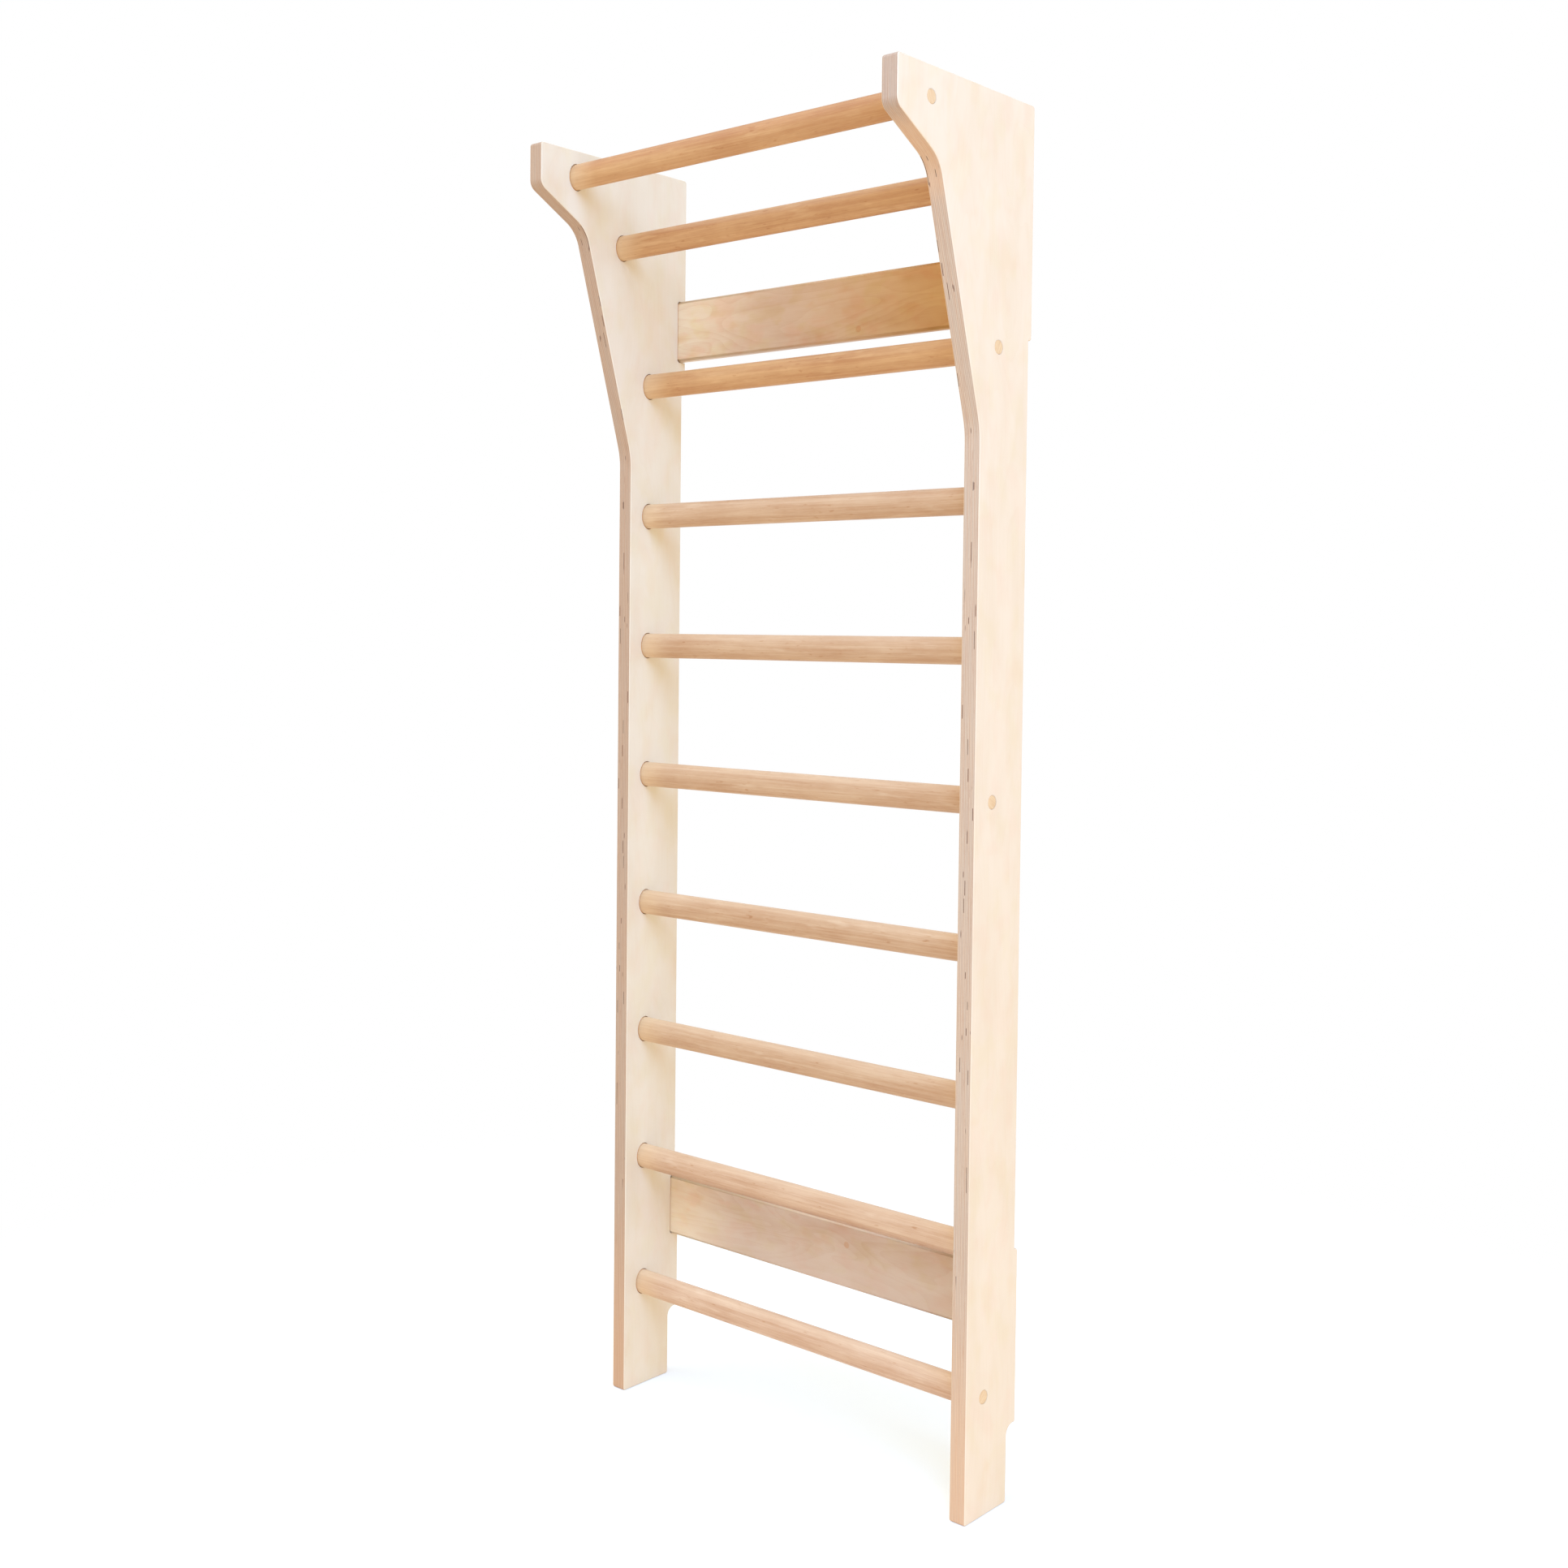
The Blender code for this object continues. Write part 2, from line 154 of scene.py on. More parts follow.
# The same for heights in metres
FOOT = 0.05, 0.40, 0.40, 0.0
ABOVE_FOOT = 0.33, 0.36
BELOW_TIP = 1.92, 1.94, 1.0, 0.0
TIP = 1.93, 1.96
FLARE = (1.84, 1.88, 0.0, 0.35), (1.93, 1.96, 1.0, 0.0)
NOT_LOWEST_RUNG = 0.25, 0.60
NINTH_RUNG = (0.30, 0.33), (0.45, 0.48, 1.0, 0.0)
LOWER_RUNGS = 1.10, 1.60, 0.26, 0.0
UPPER_RUNGS = 1.50, 1.64
FIRST_RUNG = 1.92, 1.95
LOWER_RAIL = 0.5, 1.5, 1.0, 0.0
UPPER_RAIL = 0.5, 1.5
RAIL_LOW_FACE = 0.245, 0.325, 0.48, 0.0
RAIL_HIGH_FACE = 0.270, 0.340
LIT_ARRIS = 0.3360, 0.3374, 0.0, 0.36

# The same for places from left to right, with the lower rail's painted shade first
LEFT_PANEL = -0.1, 0.1, 1.0, 0.0
RIGHT_PANEL = -0.1, 0.1
RUNG_LEFT_END = -0.335, -0.265, 0.42, 0.0
RAIL_WARM_SHADE = -0.39, 0.40
RAIL_SHADE = (-0.36, -0.15), (-0.37, -0.08)
LIT_ARRIS_LENGTH = 0.05, 0.25, 1.0, 0.3
SUNK = 0.0, 0.0003

# The same for depths into a board, as parts of its thickness
INNER_FACE = 0.4, 0.6, 1.0, 0.0
LINE_WALL_DEPTH = 0.030, 0.036, 1.0, 0.0
LINE_FLOOR_DEPTH = (0.010, 0.016), (0.060, 0.070, 1.0, 0.0)
RAIL_FACES = 0.29, 0.33, 1.0, 0.0
RAIL_FRONT = 0.3, 0.7, 1.0, 0.35

# The same for places off the middle of a veneer, as parts of its thickness
GAP_WIDTH = 0.24, 0.42, 1.0, 0.0
GLUE_LINE = 0.40, 0.48, 0.0, 0.12

# The knot in each rail, the lower rail's first, and its radius
KNOT_X = 0.053, 0.0545
KNOT_HEIGHT = 0.3082, 1.7358
KNOT_RADIUS = 0.0040, 0.0062, 1.0, 0.0

# Where the look of a panel's face gives way to that of its edge, in veneers from the face
OUTER_VENEER = 1.0, 0.7

# Height that tells the rails apart, shifts of the pattern from board to board, and the rest
BETWEEN_RAILS = 1.0
BOARD_STEP = 7.7, 5.3
GAP_DIP = 3.0
BUMP_STRENGTH = 0.4
PORES_ROUGHEN = 0.12
RUNG_POLISH = 0.06
STEEL_ROUGHNESS = 0.2, 0.25
STEEL_RELIEF = 0.00003
STEEL_DULL = 0.82

# Place, width and colour of each lamp, and the point that they shine at
KEY_LAMP = (3.3, -2.1, 3.9), 2.8, (0.32, 0.58, 1.0)
TOP_LAMP = (-1.8, -2.4, 6.0), 5.0, (0.98, 1.0, 0.94)
LAMP_TARGET = Vector((0.0, 0.0, 1.0))
SENSOR_WIDTH = 36.0

WHITE = (1.0, 1.0, 1.0, 1.0)

# The floor: the linear colours that the camera sees, which even out those of the lamps, how far
# out it turns white, its reach, height and roughness
FLOOR_SEEN = (0.80, 0.87, 0.99, 1.0)
FLOOR_GLOW = (0.80, 0.90, 1.0, 1.0)
FLOOR_FADE = 0.6, 1.9
FLOOR_REACH = 30.0
FLOOR_HEIGHT = -0.0002
FLOOR_ROUGHNESS = 0.7


def node_middle(node):
    """Middle of a CAD node's box."""
    low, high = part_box(node)
    return (low + high) / 2


def setting(kind, **fixed):
    """A maker of settings that a user can change, such as lengths in metres or screen colours."""

    def make(name, default, description, **others):
        return kind(name=name, default=default, description=description, **{**fixed, **others})

    return make


length = setting(bpy.props.FloatProperty, min=0.0, precision=4, unit="LENGTH")
amount = setting(bpy.props.FloatProperty, min=0.0, max=1.0)
angle = setting(bpy.props.FloatProperty, subtype="ANGLE")
whole = setting(bpy.props.IntProperty)
point = setting(bpy.props.FloatVectorProperty, subtype="TRANSLATION", unit="LENGTH")
shade = setting(bpy.props.FloatVectorProperty, size=3, min=0.0, max=1.0, subtype="COLOR_GAMMA")


class PanelShape(bpy.types.PropertyGroup):
    """Outline of the side panels."""

    front_edge: length("Front edge", 0.0426, "Rung column to the upright front edge")
    bend_drop: length("Bend drop", 0.471, "Panel top down to the bend in the front edge")
    bend_radius: length("Bend radius", 0.130, "Radius of the bend in the front edge")
    throat_forward: length("Throat", 0.0812, "Second rung forward to the throat of the flare")
    throat_drop: length("Throat drop", 0.120, "Panel top down to the throat")
    throat_radius: length("Throat radius", 0.055, "Radius of the throat")
    tip_face: length("Tip face", 0.0665, "Height of the upright face at the tip")
    tip_radius: length("Tip radius", 0.018, "Radius under the tip")
    head_corner: length("Head corner", 0.005, "Radius of the two top corners")
    foot_corner: length("Foot corner", 0.004, "Radius of the corners at the floor")
    pad_proud: length("Pad", 0.0075, "How far the wall pads stand out from the back edge")
    pad_past_rail: length("Pad overlap", 0.0305, "How far a pad runs past its rail")
    pad_corner: length("Pad corner", 0.0045, "Radius of a pad's outer corner")
    pad_foot: length("Pad foot", 0.0025, "Radius where a pad meets the back edge")
    notch_height: length("Notch height", 0.112, "Height of the skirting board notch")
    notch_depth: length("Notch depth", 0.022, "Depth of the skirting board notch")
    notch_fillet: length("Notch fillet", 0.015, "Radius inside the notch")
    notch_arris: length("Notch arris", 0.003, "Radius of the notch's outer corner")
    arris: length("Arris", 0.002, "Rounding of the long edges")
    socket_depth: length("Socket depth", 0.012, "Depth of the rung sockets and rail housings")
    socket_line: length("Socket line", 0.0009, "Width of the shadow line round each rung")
    housing_line: length("Housing line", 0.0006, "Width of the shadow line round each rail")
    line_depth: length("Line depth", 0.0014, "Depth of those shadow lines")
    fit: length("Fit", 0.0003, "Gap round a rung, rail or plug")


class PieceSizes(bpy.types.PropertyGroup):
    """Sizes of the rungs, rails and plugs that the frame doesn't give."""

    rung_sides: whole("Rung sides", 96, "Faces round each rung", min=24, max=256)
    rail_edge: length("Rail edge", 0.0045, "Rounding of the rails' long edges")
    plug_sides: whole("Plug sides", 64, "Faces round each plug", min=12, max=128)
    plug_chamfer: length("Plug chamfer", 0.0004, "Chamfer round each plug's faces")
    board_seed: whole("Board seed", 7, "Picks the board of each rung and plug", min=0, max=999)


class WoodFinish(bpy.types.PropertyGroup):
    """Colours and figure of the woods, with the painted light and shade on them."""

    veneers: whole("Veneers", 19, "Veneers in a side panel", min=3, max=31)
    ply_face: shade("Panel face", (0.973, 0.914, 0.855), "Face veneer of the side panels")
    ply_figure: shade("Panel figure", (0.956, 0.888, 0.816), "Darker figure in the face veneer")
    ply_edge: shade("Panel edge", (0.857, 0.785, 0.731), "Long grain in the panels' edges")
    ply_end: shade("Panel end grain", (0.775, 0.657, 0.592), "End grain in the panels' edges")
    # Painted warm bounce light from the floor on the edges at the foot and under the tip
    painted_bounce_warmth: shade("Warm edge", (0.950, 0.765, 0.610), "Edges at the foot and under the tip")
    ply_cool: shade("Cool edge", (0.785, 0.757, 0.742), "Cooler patches in the panels' edges")
    ply_gap: shade("Core gap", (0.380, 0.235, 0.180), "Short gaps between the core veneers")
    # Painted warm shade for the surfaces inside the narrow shadow lines round the rungs and rails
    shadow_line_warmth: shade("Cut wood", (1.0, 0.760, 0.500), "Wood inside the narrow shadow lines")
    rung_light: shade("Rung light", (0.896, 0.793, 0.719), "Light wood of the rungs")
    rung_dark: shade("Rung dark", (0.757, 0.583, 0.465), "Dark streaks of the rungs")
    rung_pale: shade("Pale patch", (0.950, 0.880, 0.830), "Soft pale patches in the rungs")
    # Painted light near the rungs' left ends, as bounced from the left panel
    painted_end_glow: shade("Rung end", (0.985, 0.885, 0.735), "Lighter wood near the rungs' left ends")
    # Painted shade under the ninth rung, where the lower rail behind it blocks the light
    painted_under_shade: shade("Rung underside", (0.890, 0.840, 0.815), "Tint under the ninth rung")
    # Painted highlight on top of the lower rungs, as from light above
    painted_top_highlight: shade("Rung top", (0.985, 0.900, 0.800), "Lighter tone on top of the lower rungs")
    # Painted shade on top of the first rung
    painted_first_top_shade: shade("First rung top", (0.945, 0.885, 0.825), "Tint on top of the first rung")
    fleck: shade("Fleck", (0.930, 0.865, 0.800), "Short reddish flecks in the rungs")
    middle_tint: shade("Middle tint", (0.950, 0.935, 0.892), "Tint of rungs above the lowest")
    upper_tint: shade("Upper tint", (0.997, 0.925, 0.800), "Tint of the three upper rungs")
    rail_light: shade("Rail light", (0.988, 0.942, 0.866), "Light wood of the rails")
    rail_dark: shade("Rail dark", (0.919, 0.809, 0.698), "Figure of the rails")
    rail_edge: shade("Rail edge", (0.900, 0.780, 0.690), "Dark layers in the rails' edges")
    # Painted shade on the rails away from their left ends
    rail_shade: shade("Rail shade", (0.856, 0.828, 0.865), "Tint away from the left end")
    # Painted shadow of the ninth rung high on the lower rail
    rail_top_shade: shade("Rail top shade", (0.968, 0.949, 0.930), "Tint up the lower rail")
    # Painted warm shade towards the upper rail's right end, next to the right panel
    painted_warm_shade: shade("Rail tint", (0.945, 0.792, 0.437), "Tint of the upper rail's right end")
    left_tint: shade("Left tint", (0.926, 0.897, 0.876), "Tint of the left panel's edges")
    # Painted shade on the right panel's tip edge
    painted_tip_shade: shade("Tip tint", (0.938, 0.926, 0.930), "Tint of the right panel's tip edge")
    # Painted cooling on the panels' inner faces that offsets the warm light bounced between panels
    # and rungs
    painted_inner_cooling: shade("Inner tint", (0.967, 0.989, 1.000), "Tint of the panels' inner faces")
    blush: shade("Blush", (1.000, 0.962, 0.950), "Pinkish blotches in the face veneers")
    straw: shade("Straw", (0.985, 0.980, 0.925), "Yellowish blotches in the face veneers")
    knot_tint: shade("Knot tint", (0.980, 0.905, 0.840), "Small knot in each rail")
    plug_light: shade("Plug light", (0.952, 0.837, 0.695), "Light wood of the plugs")
    plug_dark: shade("Plug dark", (0.892, 0.742, 0.580), "Streaks of the plugs")
    steel: shade("Steel", (0.640, 0.640, 0.650), "Plated steel of the screws")
    face_roughness: amount("Face roughness", 0.42, "Roughness of lacquered long grain")
    edge_roughness: amount("Edge roughness", 0.58, "Roughness of lacquered end grain")
    relief: length("Grain relief", 0.00012, "Depth of the grain in the surface")


class StageSettings(bpy.types.PropertyGroup):
    """Camera, lamps and floor."""

    camera_place: point("Camera place", (1.81478, -2.07233, 1.26439), "Where the camera stands")
    camera_turn: angle("Camera turn", 0.7196, "Turn to the left")
    camera_tilt: angle("Camera tilt", -0.0352, "Tilt above the level")
    camera_roll: angle("Camera roll", 0.0104, "Roll about the view")
    lens: bpy.props.FloatProperty(
        name="Lens", default=41.861, description="Focal length in millimetres for a 36 mm sensor"
    )
    shift: bpy.props.FloatVectorProperty(
        name="Shift", default=(0.01184, -0.05456), size=2, description="Lens shift in frame widths"
    )
    key_power: amount("Key power", 156.0, "Power of the main lamp in watts", max=5000.0)
    top_power: amount("Top power", 119.0, "Power of the overhead lamp in watts", max=5000.0)
    surround: amount("Surround", 0.85, "Strength of the light from all round", max=5.0)
    surround_colour: shade("Surround colour", (1.0, 0.945, 0.822), "Colour of that light")
    floor_colour: shade("Floor", (0.985, 0.920, 0.830), "Colour of the floor")
    floor_lift: amount("Floor lift", 0.28, "How far the floor is lifted towards white")


def linear(colour):
    """A screen colour as the linear RGBA value that a node takes."""
    return (*Color(colour).from_srgb_to_scene_linear(), 1.0)


def fill_inputs(tree, node, inputs):
    """Puts values, screen colours or links at a node's inputs."""
    for key, value in inputs.items():
        if isinstance(value, bpy.types.NodeSocket):
            tree.links.new(value, node.inputs[key])
        else:
            node.inputs[key].default_value = linear(value) if isinstance(value, Color) else value


def tree_node(tree, kind, inputs=None, **settings):
    """A new node with its settings and inputs."""
    node = tree.nodes.new(kind)
    for name, value in settings.items():
        setattr(node, name, value)
    fill_inputs(tree, node, inputs or {})
    node.location = (NODE_SPACING * len(tree.nodes), 0)
    return node


def tree_math(tree, operation, first, second):
    """Output of a Math node in any tree."""
    inputs = {0: first, 1: second}
    return tree_node(tree, "ShaderNodeMath", inputs, operation=operation).outputs[0]


def seen_rays(tree):
    """1 for rays by which the camera sees a surface, straight or by way of gloss or glass."""
    path = tree_node(tree, "ShaderNodeLightPath").outputs
    seen = tree_math(tree, "MAXIMUM", path["Is Camera Ray"], path["Is Glossy Ray"])
    return tree_math(tree, "MAXIMUM", seen, path["Is Transmission Ray"])


class MaterialGraph:
    """A material's node tree, built with one call for each node."""

    def __init__(self, name):
        self.material = bpy.data.materials.new(name)
        self.material.use_nodes = True
        self.tree = self.material.node_tree
        self.shader = self.tree.nodes["Principled BSDF"]
        self.place = self.add("ShaderNodeTexCoord").outputs["Object"]
        self.x, self.y, self.z = self.parts(self.place)

    def add(self, kind, inputs=None, **settings):
        """A new node, drawn before the shader."""
        node = tree_node(self.tree, kind, inputs, **settings)
        node.location.x *= -1
        return node

    def parts(self, vector):
        """The three parts of a vector."""
        return tuple(self.add("ShaderNodeSeparateXYZ", {0: vector}).outputs)

    def facing(self):
        """The three parts of the direction that the surface faces."""
        return self.parts(self.add("ShaderNodeTexCoord").outputs["Normal"])

    def board(self):
        """Number from 0 to 1 that says which board a rung or plug is cut from."""
        return self.add("ShaderNodeAttribute", attribute_name="board").outputs["Fac"]

    def math(self, operation, *values):
        """Output of a Math node."""
        return self.add("ShaderNodeMath", dict(enumerate(values)), operation=operation).outputs[0]

    def product(self, result, *factors):
        """All the values multiplied."""
        for factor in factors:
            result = self.math("MULTIPLY", result, factor)
        return result

    def total(self, shares, *values):
        """Sum of the values, each multiplied by its share."""
        result = 0.0
        for value, share in zip(values, shares, strict=True):
            result = self.math("MULTIPLY_ADD", value, share, result)
        return result

    def off_middle(self, value):
        """How far a value from 0 to 1 is from a half."""
        return self.math("ABSOLUTE", self.math("SUBTRACT", value, 0.5))

    def vector(self, x, y, z):
        """A vector from three values or outputs."""
        return self.add("ShaderNodeCombineXYZ", {0: x, 1: y, 2: z}).outputs[0]

    def vector_math(self, operation, *values, output="Vector"):
        """Output of a Vector Math node."""
        inputs = dict(enumerate(values))
        return self.add("ShaderNodeVectorMath", inputs, operation=operation).outputs[output]

    def pattern(self, scale, detail, roughness, distortion=0.0, place=None):
        """A noise on Object coordinates, or on another place, scaled along each axis."""
        place = self.place if place is None else place
        inputs = {
            "Vector": self.vector_math("MULTIPLY", place, scale),
            "Scale": 1.0,
            "Detail": detail,
            "Roughness": roughness,
            "Distortion": distortion,
        }
        return self.add("ShaderNodeTexNoise", inputs).outputs[0]

    def rings(self, scale, turns, sharpness):
        """Thin lines along the level sets of a noise, as a peeled veneer cuts the growth rings."""
        turn = self.math("FRACT", self.product(self.pattern(scale, *RING_NOISE), turns))
        return self.product(self.math("POWER", turn, sharpness), self.ramp(turn, *RING_BREAK))

    def ramp(self, value, low, high, start=0.0, end=1.0):
        """The value eased from start to end between low and high."""
        inputs = {"Value": value, "From Min": low, "From Max": high, "To Min": start, "To Max": end}
        node = self.add("ShaderNodeMapRange", inputs, interpolation_type="SMOOTHSTEP")
        return node.outputs[0]

    def factor(self, *parts):
        """Factors multiplied: outputs, or values with the ranges that they are eased over."""
        factors = []
        for part in parts:
            if isinstance(part, tuple):
                factors += [self.ramp(part[0], *limits) for limits in part[1:]]
            else:
                factors.append(part)
        return self.product(*factors)

    def blend(self, factor, first, second):
        """A value between two others."""
        return self.add("ShaderNodeMix", {0: factor, 2: first, 3: second}).outputs[0]

    def mix(self, first, second, *parts, blend_type="MIX"):
        """The first colour changed to the second as far as the factors say."""
        inputs = {0: self.factor(*parts), 6: first, 7: second}
        node = self.add("ShaderNodeMix", inputs, data_type="RGBA", blend_type=blend_type)
        return node.outputs[2]

    def tinted(self, colour, tint, *parts):
        """The colour multiplied by a tint as far as the factors say."""
        return self.mix(colour, tint, *parts, blend_type="MULTIPLY")

    def blotches(self, colour, finish, scale, strength):
        """The colour with faint pinkish and yellowish blotches."""
        place = self.vector_math("MULTIPLY", self.place, scale)
        moved = self.vector_math("ADD", place, STRAW_SHIFT)
        for tint, spot in ((finish.blush, place), (finish.straw, moved)):
            blotch = self.pattern((1.0, 1.0, 1.0), *BLOTCH_NOISE, spot)
            colour = self.tinted(colour, tint, (blotch, (*BLOTCHES, 0.0, strength)))
        return colour

    def sunk_ends(self, colour, finish):
        """The colour with a painted warm shade on the ends that stand inside the panels, seen in
        the narrow shadow lines.
        """
        sunk = self.math("SUBTRACT", self.math("ABSOLUTE", self.x), INNER_X)
        return self.mix(colour, finish.shadow_line_warmth, (sunk, SUNK))

    def finish(self, colour, roughness, height, relief, **others):
        """Fills the shader's inputs and returns the material."""
        bump = {"Strength": BUMP_STRENGTH, "Distance": relief, "Height": height}
        normal = self.add("ShaderNodeBump", bump).outputs[0]
        inputs = {"Base Color": colour, "Roughness": roughness, "Normal": normal, **others}
        fill_inputs(self.tree, self.shader, inputs)
        return self.material


def veneer_layers(graph, depth, veneers, along):
    """How far a point of a plywood edge is end grain, its layer, and how far off its middle it is.

    Depth runs from 0 to 1 through the board. Along is 1 where the edge runs across the face grain.
    """
    scaled = graph.product(depth, float(veneers))
    layer = graph.math("FLOOR", scaled)
    odd = graph.math("MODULO", layer, 2.0)
    end_grain = graph.blend(along, odd, graph.math("SUBTRACT", 1.0, odd))
    return end_grain, layer, graph.off_middle(graph.math("FRACT", scaled))


def panel_wood(finish):
    """Birch plywood with upright face grain and layered edges."""
    graph = MaterialGraph("birch_ply_panel")
    x, z = graph.x, graph.z
    through = graph.math("SUBTRACT", graph.math("ABSOLUTE", x), INNER_X)
    depth = graph.math("DIVIDE", through, BOARD)
    outer_veneer = (0.5 - inwards / finish.veneers for inwards in OUTER_VENEER)
    edge = graph.ramp(graph.off_middle(depth), *outer_veneer, 1.0, 0.0)

    # Face veneer: soft clouds, faint upright rings of a peeled veneer and fine fibres
    clouds = graph.pattern(*PANEL_CLOUDS)
    fibres = graph.pattern(*PANEL_FIBRES)
    tone = graph.total(PANEL_FIGURE, graph.rings(*PANEL_RINGS), clouds, fibres)
    face = graph.mix(finish.ply_face, finish.ply_figure, (tone, PANEL_TONE))
    face = graph.blotches(face, finish, *PANEL_BLOTCHES)
    # Painted cooling on the inner faces that offsets the warm light bounced between panels and
    # rungs
    face = graph.tinted(face, finish.painted_inner_cooling, (depth, INNER_FACE))

    # Walls and floors of the narrow shadow lines get a painted warm shade
    facing_x, _, facing_z = graph.facing()
    sideways = graph.math("ABSOLUTE", facing_x)
    wall = graph.factor((depth, LINE_WALL_DEPTH), (sideways, LINE_WALL))
    bottom = graph.factor((depth, *LINE_FLOOR_DEPTH), (sideways, LINE_FLOOR))
    face = graph.mix(face, finish.shadow_line_warmth, graph.math("MAXIMUM", wall, bottom))

    # Edge: veneers by turns long grain and end grain, with cooler patches
    across = graph.product(facing_z, facing_z)
    end_grain, layer, off_layer = veneer_layers(graph, depth, finish.veneers, across)
    place = graph.vector(layer, graph.y, z)
    streaks = graph.pattern(*PANEL_STREAKS, place=place)
    lines = graph.pattern(*PANEL_LINES, place=place)
    pores = graph.pattern(*PANEL_PORES)
    grain = graph.total(PANEL_GRAIN, streaks, end_grain, lines, pores)
    layered = graph.mix(finish.ply_edge, finish.ply_end, (grain, PANEL_EDGE_TONE))
    patches = graph.pattern(*PANEL_COOL, place=place)
    layered = graph.mix(layered, finish.ply_cool, (patches, COOL_PATCHES))

    # Edge: painted warm bounce light from the floor at the foot and, on the right panel, under the
    # tip
    under_tip = graph.factor((z, *FLARE), (x, RIGHT_PANEL))
    bounce_mask = graph.math("ADD", graph.ramp(z, *FOOT), under_tip)
    layered = graph.mix(layered, finish.painted_bounce_warmth, bounce_mask)

    # Edge: short gaps, glue lines, the tint of the left panel, and painted shade on the right
    # panel's tip
    gaps = graph.pattern(*PANEL_GAPS, place=place)
    gap = graph.factor((gaps, GAPS), (off_layer, GAP_WIDTH), (z, BELOW_TIP, ABOVE_FOOT))
    dark = graph.math("MAXIMUM", gap, graph.ramp(off_layer, *GLUE_LINE))
    layered = graph.mix(layered, finish.ply_gap, dark)
    layered = graph.tinted(layered, finish.left_tint, (x, LEFT_PANEL))
    layered = graph.tinted(layered, finish.painted_tip_shade, (z, TIP), (x, RIGHT_PANEL))

    colour = graph.mix(face, layered, edge)
    roughness = graph.blend(edge, finish.face_roughness, finish.edge_roughness)
    edge_height = graph.math("SUBTRACT", pores, graph.product(gap, GAP_DIP))
    return graph.finish(colour, roughness, graph.blend(edge, fibres, edge_height), finish.relief)


def rung_wood(finish):
    """Solid wood with its grain along the rung, from a different board for each rung."""
    graph = MaterialGraph("solid_rung_wood")
    x, z, upward = graph.x, graph.z, graph.facing()[2]
    board = graph.board()
    shift = graph.vector(board, *(graph.product(board, step) for step in BOARD_STEP))
    place = graph.vector_math("ADD", graph.place, shift)

    # Soft clouds, streaks, fine lines and pores along the rung, with flecks and pale patches
    clouds = graph.pattern(*RUNG_CLOUDS, place=place)
    streaks = graph.pattern(*RUNG_STREAKS, place=place)
    lines = graph.pattern(*RUNG_LINES, place=place)
    pores = graph.pattern(*RUNG_PORES, place=place)
    tone = graph.total(RUNG_FIGURE, streaks, clouds, lines, pores)
    colour = graph.mix(finish.rung_light, finish.rung_dark, (tone, RUNG_TONE))
    flecks = graph.pattern(*RUNG_FLECKS, place=place)
    colour = graph.tinted(colour, finish.fleck, (flecks, FLECKS))
    patches = graph.pattern(*RUNG_PATCHES, place=place)
    colour = graph.mix(colour, finish.rung_pale, (patches, PALE_PATCHES))

    # Tints that change with height from rung to rung, a painted highlight on top of the lower
    # rungs, painted shade on top of the first rung and under the ninth, and painted light towards
    # the left ends
    colour = graph.tinted(colour, finish.middle_tint, (z, NOT_LOWEST_RUNG))
    colour = graph.tinted(colour, finish.upper_tint, (z, UPPER_RUNGS))
    # Painted highlight on top of the lower rungs
    colour = graph.mix(colour, finish.painted_top_highlight, (upward, UPWARD), (z, LOWER_RUNGS))
    # Painted shade on top of the first rung
    colour = graph.tinted(colour, finish.painted_first_top_shade, (upward, FORWARD_OR_UP), (z, FIRST_RUNG))
    # Painted shade under the ninth rung
    colour = graph.tinted(colour, finish.painted_under_shade, (z, *NINTH_RUNG), (upward, DOWNWARD))
    # Painted light near the rungs' left ends, as bounced from the left panel
    colour = graph.mix(colour, finish.painted_end_glow, (x, RUNG_LEFT_END))
    # Painted warm shade on the rung ends inside the sockets
    colour = graph.sunk_ends(colour, finish)
    polished = finish.face_roughness - RUNG_POLISH
    roughness = graph.math("MULTIPLY_ADD", pores, PORES_ROUGHEN, polished)
    return graph.finish(colour, roughness, pores, finish.relief)


